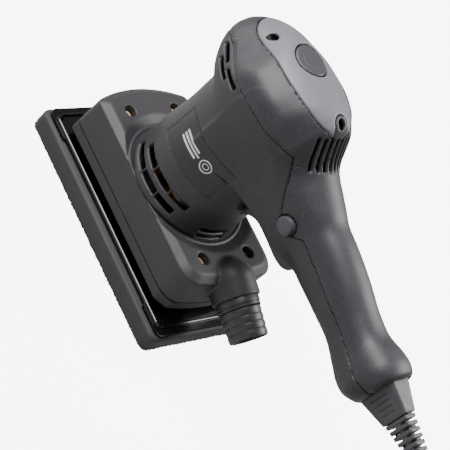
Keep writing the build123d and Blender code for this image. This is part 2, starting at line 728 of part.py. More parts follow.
def side_prism(half, points):
    """A flat outline in the XZ plane, as thick as twice half across Y."""
    with BuildPart() as prism:
        with BuildSketch(Plane.XZ):
            with BuildLine():
                Polyline(*points, close=True)
            make_face()
        extrude(amount=half, both=True)
    return prism.part


def above_seam(gap=0.0):
    """Everything above the line where the two shells meet."""
    line = [(x, z + gap) for x, z in SEAM]
    first = (-100.0, line[0][1] - 8)
    return side_prism(70.0, [(-100, 260), first, *line, (240, line[-1][1]), (240, 260)])


inner_r = BARREL_R - BARREL_WALL
outer_foot = [(BARREL_NECK_R, BARREL_BOTTOM), (BARREL_NECK_R, DISH_BOTTOM + CLEAR),
              (BARREL_FOOT_R, DISH_BOTTOM + CLEAR), (BARREL_FOOT_R, 68.0)]
inner_foot = [(inner_r, BARREL_BOTTOM - 1), (inner_r, 68.0)]
head_outer = head_solid()
under_cap = Pos(0, 0, -CAP_T) * head_outer
under_badge = Pos(0, 0, -BADGE_T) * head_outer
with BuildPart() as shell:
    add(barrel_solid(BARREL_R, outer_foot))
    add(head_outer)
    add(handle_solid())
    add(barrel_solid(inner_r, inner_foot), mode=Mode.SUBTRACT)
    add(head_solid(SHELL_WALL), mode=Mode.SUBTRACT)
    add(handle_solid(SHELL_WALL), mode=Mode.SUBTRACT)
    add(slot_cutters(), mode=Mode.SUBTRACT)
    add(vent_cutters(), mode=Mode.SUBTRACT)
    with BuildSketch(Plane.XZ.offset(-BUTTON_STEM_Y)):
        with Locations((BUTTON_X, BUTTON_Z)):
            Circle(BUTTON_R + 0.5)
    extrude(amount=40, mode=Mode.SUBTRACT)
    with BuildSketch(Plane.YZ.offset(HANDLE_STATIONS[-1][0] + 1)):
        with Locations((0, BOOT_MID_Z)):
            RectangleRounded(BOOT_HOLE_Y, BOOT_HOLE_Z, 3)
    extrude(amount=-8, mode=Mode.SUBTRACT)

TRIGGER_SLOT = [(51.0, 100.0), (113.0, 100.0), (113.0, 134.0), (51.0, 134.0)]
with BuildPart() as lower_housing:
    add(shell.part)
    for x, seat in HANDLE_SCREWS:
        with BuildSketch(Plane.XY.offset(seat - 8)):
            with Locations((x, 0)):
                Circle(HANDLE_POST_R)
        extrude(amount=20)
    add(above_seam(-SEAM_GAP / 2), mode=Mode.SUBTRACT)
    for x, seat in HANDLE_SCREWS:
        with BuildSketch(Plane.XY.offset(seat)):
            with Locations((x, 0)):
                Circle(SCREW_HEAD_R - 1)
        extrude(amount=-40, mode=Mode.SUBTRACT)
        with BuildSketch(Plane.XY.offset(seat)):
            with Locations((x, 0)):
                Circle(SCREW_R - 0.6)
        extrude(amount=40, mode=Mode.SUBTRACT)
    add(side_prism(TRIGGER_HALF + TRIGGER_GAP, TRIGGER_SLOT), mode=Mode.SUBTRACT)
    for side in (-1, 1):
        with BuildSketch(Plane.XZ.offset(-side * (TRIGGER_HALF + 0.8))):
            with Locations((PIVOT_X, PIVOT_Z + 2)):
                Rectangle(11, 11)
        extrude(amount=-side * (PIVOT_PIN_HALF - TRIGGER_HALF - 0.8))
    with BuildSketch(Plane.XZ.offset(PIVOT_PIN_HALF + 1)):
        with Locations((PIVOT_X, PIVOT_Z)):
            Circle(PIVOT_PIN_R + CLEAR)
    extrude(amount=-2 * PIVOT_PIN_HALF - 2, mode=Mode.SUBTRACT)
    add(sector(60, LABEL_START, LABEL_END, LABEL_BOTTOM, LABEL_TOP)
        - tube(LABEL_R - LABEL_T, 0, LABEL_BOTTOM - 1, LABEL_TOP + 1).part, mode=Mode.SUBTRACT)
save(lower_housing, "lower_housing")

with BuildPart() as upper_housing:
    add(shell.part)
    add(above_seam(SEAM_GAP / 2), mode=Mode.INTERSECT)
    add(cap_plan(CAP_GAP) - Pos(0, 0, -CAP_GAP) * under_cap, mode=Mode.SUBTRACT)
    for x, y, seat in CAP_SCREW_LEVELS:
        with BuildSketch(Plane.XY.offset(seat)):
            with Locations((x, y)):
                Circle(CAP_HOLE_R + CLEAR)
        extrude(amount=30, mode=Mode.SUBTRACT)
        with BuildSketch(Plane.XY.offset(seat)):
            with Locations((x, y)):
                Circle(SCREW_R - 0.6)
        extrude(amount=-20, mode=Mode.SUBTRACT)
save(upper_housing, "upper_housing")

with BuildPart() as top_cap:
    add((cap_plan() & head_outer) - under_cap)
    with BuildSketch(Plane.XY.offset(CAP_BASE)):
        with Locations(*FRONT_CAP_SCREWS):
            Circle(CAP_HOLE_R)
    extrude(amount=50, mode=Mode.SUBTRACT)
    add(tube(BADGE_R + BADGE_GAP, 0, CAP_BASE, 250, (BADGE_X, 0)).part - under_badge, mode=Mode.SUBTRACT)
save(top_cap, "top_cap")

with BuildPart() as cap_badge:
    add(tube(BADGE_R, 0, CAP_BASE, 250, (BADGE_X, 0)).part & head_outer)
    add(Pos(0, 0, CLEAR) * under_badge, mode=Mode.SUBTRACT)
save(cap_badge, "cap_badge")

with BuildPart() as cap_screws:
    for x, y, seat in CAP_SCREW_LEVELS:
        with BuildSketch(Plane.XY.offset(seat)):
            with Locations((x, y)):
                Circle(CAP_HOLE_R - 0.3)
        extrude(amount=2.4)
        with BuildSketch(Plane.XY.offset(seat + CLEAR)):
            with Locations((x, y)):
                Circle(SCREW_R - 0.65)
        extrude(amount=-12)
        with BuildSketch(Plane.XY.offset(seat + 2.4)):
            with Locations((x, y)):
                Rectangle(3.4, 0.9)
                Rectangle(0.9, 3.4)
        extrude(amount=-1.3, mode=Mode.SUBTRACT)
save(cap_screws, "cap_screws")

with BuildPart() as handle_screws:
    for x, seat in HANDLE_SCREWS:
        with BuildSketch(Plane.XY.offset(seat - CLEAR)):
            with Locations((x, 0)):
                Circle(SCREW_HEAD_R - 1.2)
        extrude(amount=-2.6)
        with BuildSketch(Plane.XY.offset(seat - CLEAR)):
            with Locations((x, 0)):
                Circle(SCREW_R - 0.65)
        extrude(amount=10)
save(handle_screws, "handle_screws")

with BuildPart() as label_panel:
    add(sector(LABEL_R, LABEL_START + 0.4, LABEL_END - 0.4, LABEL_BOTTOM + 0.3, LABEL_TOP - 0.3))
    add(tube(LABEL_R - LABEL_T + CLEAR, 0, LABEL_BOTTOM - 1, LABEL_TOP + 1).part, mode=Mode.SUBTRACT)
save(label_panel, "label_panel")

# ---------------------------------------------------------------- trigger, lock button, switch
with BuildPart() as trigger:
    with BuildSketch(Plane.XZ):
        with BuildLine():
            Polyline((52.6, 125.5), (50.2, 109.0), (52.0, 107.6))
            Spline((52.0, 107.6), (55.9, 113.6), (60.5, 116.7), (67.0, 118.0))
            Line((67.0, 118.0), (99.0, 117.3))
            Spline((99.0, 117.3), (103.5, 118.6), (107.0, 121.6), (109.0, 128.2))
            Polyline((109.0, 128.2), (107.5, 130.3), (68.0, 130.3), (67.0, 136.5), (57.0, 136.5),
                     (56.6, 129.5), (52.6, 125.5))
        make_face()
    extrude(amount=TRIGGER_HALF, both=True)
    with BuildSketch(Plane.XZ.offset(TRIGGER_HALF + 1)):
        with Locations((PIVOT_X, PIVOT_Z)):
            Circle(PIVOT_PIN_R + RUN)
    extrude(amount=-2 * TRIGGER_HALF - 2, mode=Mode.SUBTRACT)
save(trigger, "trigger")

with BuildPart() as trigger_pin:
    with BuildSketch(Plane.XZ.offset(PIVOT_PIN_HALF)):
        with Locations((PIVOT_X, PIVOT_Z)):
            Circle(PIVOT_PIN_R)
    extrude(amount=-2 * PIVOT_PIN_HALF)
save(trigger_pin, "trigger_pin")

with BuildPart() as lock_button:
    with BuildSketch(Plane.XZ.offset(-BUTTON_FACE_Y)):
        with Locations((BUTTON_X, BUTTON_Z)):
            Circle(BUTTON_R)
    extrude(amount=-10)
    chamfer(lock_button.faces().sort_by(Axis.Y)[0].edges(), 0.8)
    with BuildSketch(Plane.XZ.offset(-BUTTON_FACE_Y)):
        with Locations((BUTTON_X, BUTTON_Z)):
            Circle(BUTTON_STEM_R)
    extrude(amount=BUTTON_STEM_Y * -1 + BUTTON_FACE_Y)
save(lock_button, "lock_button")

SWITCH_BOTTOM = 138.5
SWITCH_TOP = 160.0
with BuildPart() as switch_body:
    with BuildSketch(Plane.XY.offset(SWITCH_BOTTOM)):
        with Locations((92, 0)):
            RectangleRounded(30, 16, 1.5)
    extrude(amount=SWITCH_TOP - SWITCH_BOTTOM)
    with BuildSketch(Plane.XY.offset(SWITCH_BOTTOM)):
        with Locations((96, 0)):
            Circle(3.0)
    extrude(amount=-1.5)
save(switch_body, "switch_body")

# ---------------------------------------------------------------- cord and plug
BOOT_START = 211.0
BOOT_TAPER_START = 218.5
BOOT_TAPER_END = 241.0
BOOT_SIZE = (20.0, 34.0)       # width and height where it leaves the handle
BOOT_SMALL = (13.0, 24.0)      # and where its ribs start
BOOT_END = 280.0
BOOT_RIBS = 7
RIB_PITCH = 4.8
RIB_T = 3.2
with BuildPart() as strain_relief:
    with BuildSketch(Plane.YZ.offset(BOOT_START)):
        with Locations((0, BOOT_MID_Z)):
            RectangleRounded(*BOOT_SIZE, 2.0)
    extrude(amount=BOOT_TAPER_START - BOOT_START)
    for at, size in ((BOOT_TAPER_START, BOOT_SIZE), (BOOT_TAPER_END, BOOT_SMALL)):
        with BuildSketch(Plane.YZ.offset(at)):
            with Locations((0, BOOT_MID_Z)):
                RectangleRounded(*size, 2.0)
    loft()
    for rib in range(BOOT_RIBS):
        share = rib / (BOOT_RIBS - 1)
        with BuildSketch(Plane.YZ.offset(BOOT_TAPER_END + 1.6 + rib * RIB_PITCH)):
            with Locations((0, BOOT_MID_Z)):
                RectangleRounded(12.6 - 2.4 * share, 20.0 - 8.0 * share, 2.0)
        extrude(amount=RIB_T)
    with BuildSketch(Plane.YZ.offset(BOOT_TAPER_END - 1)):
        with Locations((0, BOOT_MID_Z)):
            Circle(4.9)
    extrude(amount=BOOT_END - BOOT_TAPER_END + 1)
save(strain_relief, "strain_relief")

with BuildPart() as inner_lead:
    with BuildSketch(Plane.YZ.offset(BOOT_START)):
        with Locations((0, BOOT_MID_Z)):
            Circle(CORD_D / 2)
    extrude(amount=-24)
save(inner_lead, "inner_lead")

CLAMP_X = 194.0
with BuildPart() as cord_clamp:
    with BuildSketch(Plane.YZ.offset(CLAMP_X)):
        with Locations((0, BOOT_MID_Z + CORD_D / 2 + 2.0)):
            Rectangle(26.0, 4.0)
        with Locations((0, BOOT_MID_Z)):
            Circle(CORD_D / 2 + CLEAR, mode=Mode.SUBTRACT)
    extrude(amount=8)
save(cord_clamp, "cord_clamp")

with BuildPart() as clamp_screws:
    with BuildSketch(Plane.XY.offset(BOOT_MID_Z + CORD_D / 2 + 4.0 + CLEAR)):
        with Locations((CLAMP_X + 4, -9.5), (CLAMP_X + 4, 9.5)):
            Circle(2.8)
    extrude(amount=2.0)
save(clamp_screws, "clamp_screws")

COIL_R = COIL_MEAN_D / 2
COIL_SECTION = COIL_TURNS_WIDE * CORD_D
OUTER_TURN_R = COIL_R + CORD_D
COIL_X = 290.0
COIL_Y = -103.5
ENTRY_STUB = 27.0               # straight lengths where the cord meets the coil and leaves it
EXIT_STUB = 29.0
FLOOR_Z = CORD_D / 2 + 0.1      # height of the cord's centre where it lies
LEAD_Z = COIL_SECTION - FLOOR_Z
# The cord swings to -Y as it drops, clear of the line along which a hose leaves the dust port.
cord_route = [
    (BOOT_END, 0.0, BOOT_MID_Z),
    (300.0, 0.0, 144.0),
    (326.0, -2.0, 131.0),
    (340.0, -7.0, 101.0),
    (343.0, -15.0, 67.0),
    (342.0, -22.0, 37.0),
    (340.0, -33.5, 15.2),
    (COIL_X + OUTER_TURN_R, -53.5, FLOOR_Z),
    (COIL_X + OUTER_TURN_R, COIL_Y + ENTRY_STUB, FLOOR_Z),
]


def route_radii(points):
    """The largest arc that each corner's two runs allow."""
    radii = []
    for before, corner, after in zip(points, points[1:], points[2:]):
        arriving = Vector(*corner) - Vector(*before)
        leaving = Vector(*after) - Vector(*corner)
        turn = math.radians(arriving.get_angle(leaving))
        radii.append(0.45 * min(arriving.length, leaving.length) / math.tan(turn / 2))
    return radii


radii = route_radii(cord_route)
print("cord radii", [round(r) for r in radii])
with BuildPart() as cord_tube:
    with BuildLine() as route:
        FilletPolyline(*cord_route, radius=radii)
    with BuildSketch(Plane(origin=cord_route[0], z_dir=(1, 0, 0))):
        Circle(CORD_D / 2)
    sweep(path=route.line)
tube_length = sum(edge.length for edge in route.edges())
print("cord tube", cord_tube.part.is_valid, round(tube_length), "mm, volume ratio",
      round(cord_tube.part.volume / (math.pi * CORD_D ** 2 / 4 * tube_length), 4))
save(cord_tube, "cord_tube")

with BuildPart() as cord_coil:
    with BuildSketch():
        with Locations((COIL_X, COIL_Y)):
            Circle(COIL_R + COIL_SECTION / 2)
            Circle(COIL_R - COIL_SECTION / 2, mode=Mode.SUBTRACT)
    extrude(amount=COIL_SECTION)
    with BuildSketch(Plane.XZ.offset(-(COIL_Y + ENTRY_STUB))):
        with Locations((COIL_X + OUTER_TURN_R, FLOOR_Z)):
            Circle(CORD_D / 2)
    extrude(amount=ENTRY_STUB / 2)
    with BuildSketch(Plane.XZ.offset(-(COIL_Y + EXIT_STUB))):
        with Locations((COIL_X - OUTER_TURN_R, LEAD_Z)):
            Circle(CORD_D / 2)
    extrude(amount=EXIT_STUB / 2)
save(cord_coil, "cord_coil")
coil_turns = (CORD_LENGTH - tube_length - ENTRY_STUB - EXIT_STUB) / (math.pi * COIL_MEAN_D)
print("coil turns", round(coil_turns, 2))

PLUG_END_Y = COIL_Y + EXIT_STUB
PLUG_BOOT = 14.0
PLUG_FLARE = 9.0
PLUG_BODY = 26.0
PLUG_R = 17.5
PIN_R = 2.4
PIN_L = 19.0
PIN_SPACING = 19.0
plug_x = COIL_X - OUTER_TURN_R
plug_z = LEAD_Z
plug_shoulder_y = PLUG_END_Y + PLUG_BOOT + PLUG_FLARE
plug_face_y = PLUG_END_Y + PLUG_BOOT + PLUG_BODY
with BuildPart() as plug_body:
    for y, radius in ((PLUG_END_Y, 5.0), (PLUG_END_Y + PLUG_BOOT, 9.0), (plug_shoulder_y, PLUG_R)):
        with BuildSketch(Plane.XZ.offset(-y)):
            with Locations((plug_x, plug_z)):
                Circle(radius)
    loft(ruled=True)
    with BuildSketch(Plane.XZ.offset(-plug_shoulder_y)):
        with Locations((plug_x, plug_z)):
            Circle(PLUG_R)
    extrude(amount=-(plug_face_y - plug_shoulder_y))
save(plug_body, "plug_body")

with BuildPart() as plug_pins:
    with BuildSketch(Plane.XZ.offset(-plug_face_y)):
        with Locations((plug_x - PIN_SPACING / 2, plug_z), (plug_x + PIN_SPACING / 2, plug_z)):
            Circle(PIN_R)
    extrude(amount=-PIN_L)
    fillet(plug_pins.faces().sort_by(Axis.Y)[-1].edges(), 1.5)
save(plug_pins, "plug_pins")
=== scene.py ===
import math
import random

import bmesh
import bpy
import numpy as np
from mathutils import Matrix, Vector


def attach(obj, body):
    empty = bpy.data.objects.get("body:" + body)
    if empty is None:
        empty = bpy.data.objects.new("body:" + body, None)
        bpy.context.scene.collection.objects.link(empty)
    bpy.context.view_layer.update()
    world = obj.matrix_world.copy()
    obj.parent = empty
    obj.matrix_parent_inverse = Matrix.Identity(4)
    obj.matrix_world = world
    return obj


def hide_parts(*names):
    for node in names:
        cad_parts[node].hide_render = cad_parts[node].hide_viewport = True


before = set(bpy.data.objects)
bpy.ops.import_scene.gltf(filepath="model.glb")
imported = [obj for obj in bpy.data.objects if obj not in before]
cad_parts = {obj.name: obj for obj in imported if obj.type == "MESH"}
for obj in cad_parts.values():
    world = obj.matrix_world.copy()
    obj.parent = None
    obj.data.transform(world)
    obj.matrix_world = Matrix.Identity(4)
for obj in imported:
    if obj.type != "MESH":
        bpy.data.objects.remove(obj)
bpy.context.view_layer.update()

MM = 0.001

# ---------------------------------------------------------------- camera and studio
# A long lens from above the tool's left rear shoulder, rolled so that the handle runs down to the right.
# Four soft boxes light the tool. The sweep and the backdrop look brighter to the camera than they shine on the
# tool, so they come out near white, without a shadow.
CAMERA_PLACE = (0.390944, -0.903635, 0.817342)
CAMERA_RIGHT = Vector((0.42975568, 0.66282988, 0.61316115))
CAMERA_DOWN = Vector((0.85724624, -0.08620954, -0.50763846))
CAMERA_LENS = 128.61
scene = bpy.context.scene

camera_data = bpy.data.cameras.new("camera")
camera_data.sensor_width = 36
camera_data.lens = CAMERA_LENS
camera_data.clip_start = 0.05
camera_data.clip_end = 20
camera = bpy.data.objects.new("camera", camera_data)
scene.collection.objects.link(camera)
back = CAMERA_RIGHT.cross(-CAMERA_DOWN)
turned = Matrix((CAMERA_RIGHT, -CAMERA_DOWN, back)).transposed()
camera.matrix_world = Matrix.Translation(CAMERA_PLACE) @ turned.to_4x4()
scene.camera = camera


def linear(colour):
    """An sRGB hex colour as the linear values that a shader takes."""
    values = [int(colour[i:i + 2], 16) / 255 for i in (0, 2, 4)]
    return (*[v / 12.92 if v <= 0.04045 else ((v + 0.055) / 1.055) ** 2.4 for v in values], 1.0)


def add_node(tree, kind, settings=None, links=None):
    """Add one node: settings are its inputs' values or its own properties, links feed its inputs."""
    made = tree.nodes.new(kind)
    for key, value in (settings or {}).items():
        if key in made.inputs:
            made.inputs[key].default_value = value
        else:
            setattr(made, key, value)
    for key, source in (links or {}).items():
        tree.links.new(source, made.inputs[key])
    return made


def new_material(name):
    """An empty node material and its output node."""
    material = bpy.data.materials.new(name)
    material.use_nodes = True
    material.node_tree.nodes.clear()
    return material, add_node(material.node_tree, "ShaderNodeOutputMaterial")


def noise(tree, size_mm, detail, roughness=0.5):
    """Noise fixed to the piece, with features of a size in millimetres."""
    place = add_node(tree, "ShaderNodeTexCoord").outputs["Object"]
    return add_node(tree, "ShaderNodeTexNoise", {"Scale": 1 / (size_mm * MM), "Detail": detail, "Roughness": roughness},
                    {"Vector": place}).outputs["Fac"]


def spread(tree, source, low, high, start=0.0, end=1.0):
    """A value brought from one range to another."""
    return add_node(tree, "ShaderNodeMapRange", {"From Min": start, "From Max": end, "To Min": low, "To Max": high},
                    {"Value": source}).outputs["Result"]


def tinted(tree, colour, other, share):
    """One colour that goes over to another by a share."""
    return add_node(tree, "ShaderNodeMixRGB", {"Color1": linear(colour), "Color2": linear(other)},
                    {"Fac": share}).outputs["Color"]


def coated(made, settings, rough, height, strength, depth_mm, tint=None):
    """Join a principled shader with a bump to a new material's output."""
    material, output = made
    bump = add_node(material.node_tree, "ShaderNodeBump", {"Strength": strength, "Distance": depth_mm * MM},
                    {"Height": height})
    links = {"Roughness": rough, "Normal": bump.outputs["Normal"]}
    if tint is not None:
        links["Base Color"] = tint
    shader = add_node(material.node_tree, "ShaderNodeBsdfPrincipled", settings, links)
    material.node_tree.links.new(shader.outputs["BSDF"], output.inputs["Surface"])
    return material


world = bpy.data.worlds.new("studio")
scene.world = world
world.use_nodes = True
world.node_tree.nodes["Background"].inputs["Color"].default_value = linear("ffffff")
direct = add_node(world.node_tree, "ShaderNodeLightPath").outputs["Is Camera Ray"]
backdrop = add_node(world.node_tree, "ShaderNodeMapRange", {"To Min": 0.2, "To Max": 7.0}, {"Value": direct})
world.node_tree.links.new(backdrop.outputs["Result"], world.node_tree.nodes["Background"].inputs["Strength"])

STUDIO_CENTRE = Vector((0.06, 0.0, 0.12))
SOFT_BOXES = [   # name, direction towards the light, distance, width, watts
    ("overhead_box", (-0.42, -0.20, 0.90), 1.3, 0.8, 30.0),
    ("far_side_box", (0.25, 0.85, 0.60), 1.3, 0.7, 16.0),
    ("front_box", (-0.9, -0.25, 0.30), 1.4, 0.7, 9.0),
    ("near_fill", (0.6, -0.8, 0.25), 1.6, 0.9, 3.0),
]
for name, direction, distance, width, watts in SOFT_BOXES:
    lamp = bpy.data.lights.new(name, "AREA")
    lamp.shape = "DISK"
    lamp.size = width
    lamp.energy = watts
    holder = bpy.data.objects.new(name, lamp)
    away = Vector(direction).normalized()
    facing = away.to_track_quat("Z", "Y").to_matrix().to_4x4()
    holder.matrix_world = Matrix.Translation(STUDIO_CENTRE + away * distance) @ facing
    scene.collection.objects.link(holder)

SWEEP_HALF = 6.0
sweep_mesh = bpy.data.meshes.new("sweep")
sweep_mesh.from_pydata([(-SWEEP_HALF, -SWEEP_HALF, 0), (SWEEP_HALF, -SWEEP_HALF, 0),
                        (SWEEP_HALF, SWEEP_HALF, 0), (-SWEEP_HALF, SWEEP_HALF, 0)], [], [(0, 1, 2, 3)])
sweep = bpy.data.objects.new("sweep", sweep_mesh)
scene.collection.objects.link(sweep)
paper, paper_out = new_material("white_paper")
paper_shader = add_node(paper.node_tree, "ShaderNodeBsdfPrincipled", {
    "Base Color": linear("b4b4b4"), "Roughness": 0.9, "Emission Color": linear("ffffff")})
seen = add_node(paper.node_tree, "ShaderNodeLightPath").outputs["Is Camera Ray"]
glow = add_node(paper.node_tree, "ShaderNodeMapRange", {"To Min": 0.1, "To Max": 7.0}, {"Value": seen})
paper.node_tree.links.new(glow.outputs["Result"], paper_shader.inputs["Emission Strength"])
paper.node_tree.links.new(paper_shader.outputs["BSDF"], paper_out.inputs["Surface"])
sweep_mesh.materials.append(paper)


# ---------------------------------------------------------------- mains cord
# 2.5 m of round rubber-sheathed flex: it drops from the boot, and the rest lies in a tied coil with its plug.
# The plug is moulded onto the flex, with two plated round pins.
CORD_D = 7.5
FLOOR_Z = 3.85                 # height of the cord's centre where it lies
COIL_CENTRE = (290.0, -103.5)
COIL_ENTRY_Y = -76.5           # the route ends here, on the coil's +X side
COIL_EXIT_Y = -74.5            # and the flex leaves the coil here, on its -X side
TURN_POINTS = 20
TURN_LIFT = 7.4
CORD_ROUTE = [
    (280.0, 0.0, 144.0),
    (300.0, 0.0, 144.0),
    (326.0, -2.0, 131.0),
    (340.0, -7.0, 101.0),
    (343.0, -15.0, 67.0),
    (342.0, -22.0, 37.0),
    (340.0, -33.5, 15.2),
    (338.25, -53.5, FLOOR_Z),
    (338.25, COIL_ENTRY_Y, FLOOR_Z),
]
# Where each turn lies in the coil's section: radius and level, in the order they are wound.
TURN_PLACES = [(48.25, 0), (40.75, 0), (33.25, 0), (33.25, 1), (40.75, 1), (48.25, 1), (33.25, 2), (40.75, 2),
               (48.25, 2)]
WOUND_TURNS = 8.5
STEP_OVER = 0.16               # share of a turn in which the cord moves to its next place


def moulded_rubber(name, colour, roughness, grain_mm):
    """Natural rubber or soft PVC from a polished mould: dull, with a faint mottle and a soft highlight."""
    made = new_material(name)
    tree = made[0].node_tree
    mottle = noise(tree, 6, 3.0)
    tint = tinted(tree, colour, "3a383b", spread(tree, mottle, 0.0, 0.25, 0.45, 0.75))
    rough = spread(tree, mottle, roughness - 0.06, roughness + 0.08)
    return coated(made, {"IOR": 1.5}, rough, noise(tree, grain_mm, 2.0), 0.25, 0.1, tint)


def finish_node(name, material):
    """Give a CAD node its finish."""
    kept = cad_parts[name]
    if not kept.material_slots:
        kept.data.materials.append(material)
    for holder in kept.material_slots:
        holder.material = material


def add_piece(name, data, body, slot, material, *replaced):
    """Put a finished mesh or curve in the scene with its body, its finish and the CAD nodes it stands for."""
    data.materials.append(material)
    made = bpy.data.objects.new(name, data)
    scene.collection.objects.link(made)
    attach(made, body)
    if replaced:
        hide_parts(*replaced)
    return made


cord_points = list(CORD_ROUTE)
for index in range(1, int(WOUND_TURNS * TURN_POINTS) + 1):
    turn = index / TURN_POINTS
    place = min(int(turn), len(TURN_PLACES) - 1)
    after = min(place + 1, len(TURN_PLACES) - 1)
    share = max(0.0, (turn - place - 1 + STEP_OVER) / STEP_OVER)
    ease = share * share * (3 - 2 * share)
    radius = TURN_PLACES[place][0] * (1 - ease) + TURN_PLACES[after][0] * ease
    level = TURN_PLACES[place][1] * (1 - ease) + TURN_PLACES[after][1] * ease
    angle = -2 * math.pi * turn
    cord_points.append((COIL_CENTRE[0] + radius * math.cos(angle), COIL_CENTRE[1] + radius * math.sin(angle),
                        FLOOR_Z + TURN_LIFT * level))
cord_points.append((cord_points[-1][0], (COIL_CENTRE[1] + COIL_EXIT_Y) / 2, cord_points[-1][2]))
cord_points.append((cord_points[-1][0], COIL_EXIT_Y, cord_points[-1][2]))

cord_curve = bpy.data.curves.new("mains_cord", "CURVE")
cord_curve.dimensions = "3D"
cord_line = cord_curve.splines.new("NURBS")
cord_line.points.add(len(cord_points) - 1)
for point, (x, y, z) in zip(cord_line.points, cord_points):
    point.co = (x * MM, y * MM, z * MM, 1)
cord_line.order_u = 3
cord_line.use_endpoint_u = True
cord_line.resolution_u = 6
cord_curve.bevel_depth = CORD_D / 2 * MM
cord_curve.bevel_resolution = 5
cord_rubber = moulded_rubber("cord_rubber", "1c1b1c", 0.55, 0.5)
mains_cord = add_piece("mains_cord", cord_curve, "housing", "black_rubber", cord_rubber, "cord_tube", "cord_coil")

TIE_W = 9.0
TIE_T = 0.7
TIE_CORNER = 5.0
COIL_SECTION = 22.5
tie_mesh = bpy.data.meshes.new("cord_tie")
tie = bmesh.new()
tie_loops = []
TIE_STEPS = 8
tie_flat = COIL_SECTION / 2 + 0.2 - TIE_CORNER
for side in (-TIE_W / 2, TIE_W / 2):
    for thick in (0.0, TIE_T):
        loop = []
        for corner in range(4):
            for step in range(TIE_STEPS + 1):
                angle = math.pi / 2 * (corner + step / TIE_STEPS)
                across = tie_flat * (1 if corner in (0, 3) else -1) + (TIE_CORNER + thick) * math.cos(angle)
                up = tie_flat * (1 if corner in (0, 1) else -1) + (TIE_CORNER + thick) * math.sin(angle)
                up = max(up, -COIL_SECTION / 2 + thick)
                loop.append(tie.verts.new(((COIL_CENTRE[0] + side) * MM,
                                           (COIL_CENTRE[1] - 40.75 + across) * MM,
                                           (COIL_SECTION / 2 + 0.05 + up) * MM)))
        tie_loops.append(loop)
for first, second in ((0, 2), (3, 1), (1, 0), (2, 3)):
    count = len(tie_loops[0])
    for i in range(count):
        j = (i + 1) % count
        tie.faces.new((tie_loops[first][i], tie_loops[first][j], tie_loops[second][j], tie_loops[second][i]))
bmesh.ops.recalc_face_normals(tie, faces=tie.faces)
tie.to_mesh(tie_mesh)
tie.free()
add_piece("cord_tie", tie_mesh, "housing", "black_rubber", cord_rubber)
finish_node("plug_body", cord_rubber)


# ---------------------------------------------------------------- sanding pad
# A half-sheet pad: a dense rubber foam slab with hook pile moulded into its working face, screwed to a
# pressed steel plate in gloss black enamel. The pile shows as a ragged fringe along the lower edge.
PAD_HALF = (104.0, 57.5)
PAD_CORNER = 8.0
CORNER_STEPS = 10
FRINGE = 1.1                   # how far the hooks stand out from the slab's edge
HOOK_PITCH = 0.9


def close_mesh(build, mesh, sharp):
    """Turn the faces outward, write them to the mesh, and shade it smooth up to an angle in degrees."""
    bmesh.ops.recalc_face_normals(build, faces=build.faces)
    build.to_mesh(mesh)
    build.free()
    mesh.shade_smooth()
    mesh.set_sharp_from_angle(angle=math.radians(sharp))
    return mesh


def rounded_loop(half_x, half_y, corner, pitch):
    """Points along a rounded rectangle, a pitch apart on its straight sides."""
    points = []
    for quarter, (sx, sy) in enumerate(((1, 1), (-1, 1), (-1, -1), (1, -1))):
        centre = ((half_x - corner) * sx, (half_y - corner) * sy)
        for step in range(CORNER_STEPS + 1):
            angle = math.pi / 2 * (quarter + step / CORNER_STEPS)
            points.append((centre[0] + corner * math.cos(angle), centre[1] + corner * math.sin(angle)))
        after = ((half_x - corner) * (1, -1, -1, 1)[(quarter + 1) % 4],
                 (half_y - corner) * (1, 1, -1, -1)[(quarter + 1) % 4])
        angle = math.pi / 2 * (quarter + 1)
        first = points[-1]
        last = (after[0] + corner * math.cos(angle), after[1] + corner * math.sin(angle))
        runs = max(1, int(math.dist(first, last) / pitch))
        for step in range(1, runs):
            share = step / runs
            points.append((first[0] + (last[0] - first[0]) * share, first[1] + (last[1] - first[1]) * share))
    return points


def stack_mesh(name, loops):
    """A closed skin over loops of equal count, each a list of points in millimetres."""
    mesh = bpy.data.meshes.new(name)
    build = bmesh.new()
    rows = [[build.verts.new(Vector(point) * MM) for point in loop] for loop in loops]
    for lower, upper in zip(rows, rows[1:]):
        for i in range(len(lower)):
            j = (i + 1) % len(lower)
            build.faces.new((lower[i], lower[j], upper[j], upper[i]))
    build.faces.new(list(reversed(rows[0])))
    build.faces.new(rows[-1])
    return close_mesh(build, mesh, 38)


foam_rubber = moulded_rubber("foam_rubber", "2e2b2f", 0.62, 0.8)
hook_pile = moulded_rubber("hook_pile", "4a4643", 0.9, 0.6)
chance = random.Random(7)
foam_profile = [(1.6, 1.1), (2.2, 0.5), (4.0, 0.15), (14.6, 0.0), (16.1, 0.7), (16.9, 2.2)]   # level, inset
base_outline = rounded_loop(*PAD_HALF, PAD_CORNER, 3.0)
foam_loops = []
for level, inset in foam_profile:
    scale = (1 - inset / PAD_HALF[0], 1 - inset / PAD_HALF[1])
    foam_loops.append([(x * scale[0], y * scale[1], level) for x, y in base_outline])
add_piece("pad_slab", stack_mesh("pad_slab", foam_loops), "pad", "pad_foam", foam_rubber, "foam_pad")

pile_outline = rounded_loop(PAD_HALF[0] - FRINGE, PAD_HALF[1] - FRINGE, PAD_CORNER - FRINGE, HOOK_PITCH)
pile_loops = []
for level in (0.0, 0.5, 1.1, 1.7):
    loop = []
    for x, y in pile_outline:
        out = 1 + chance.uniform(-0.3, 0.9) * FRINGE / math.hypot(x, y)
        loop.append((x * out, y * out, level + chance.uniform(0, 0.25)))
    pile_loops.append(loop)
add_piece("hook_pile", stack_mesh("hook_pile", pile_loops), "pad", "hook_fabric", hook_pile, "hook_face")


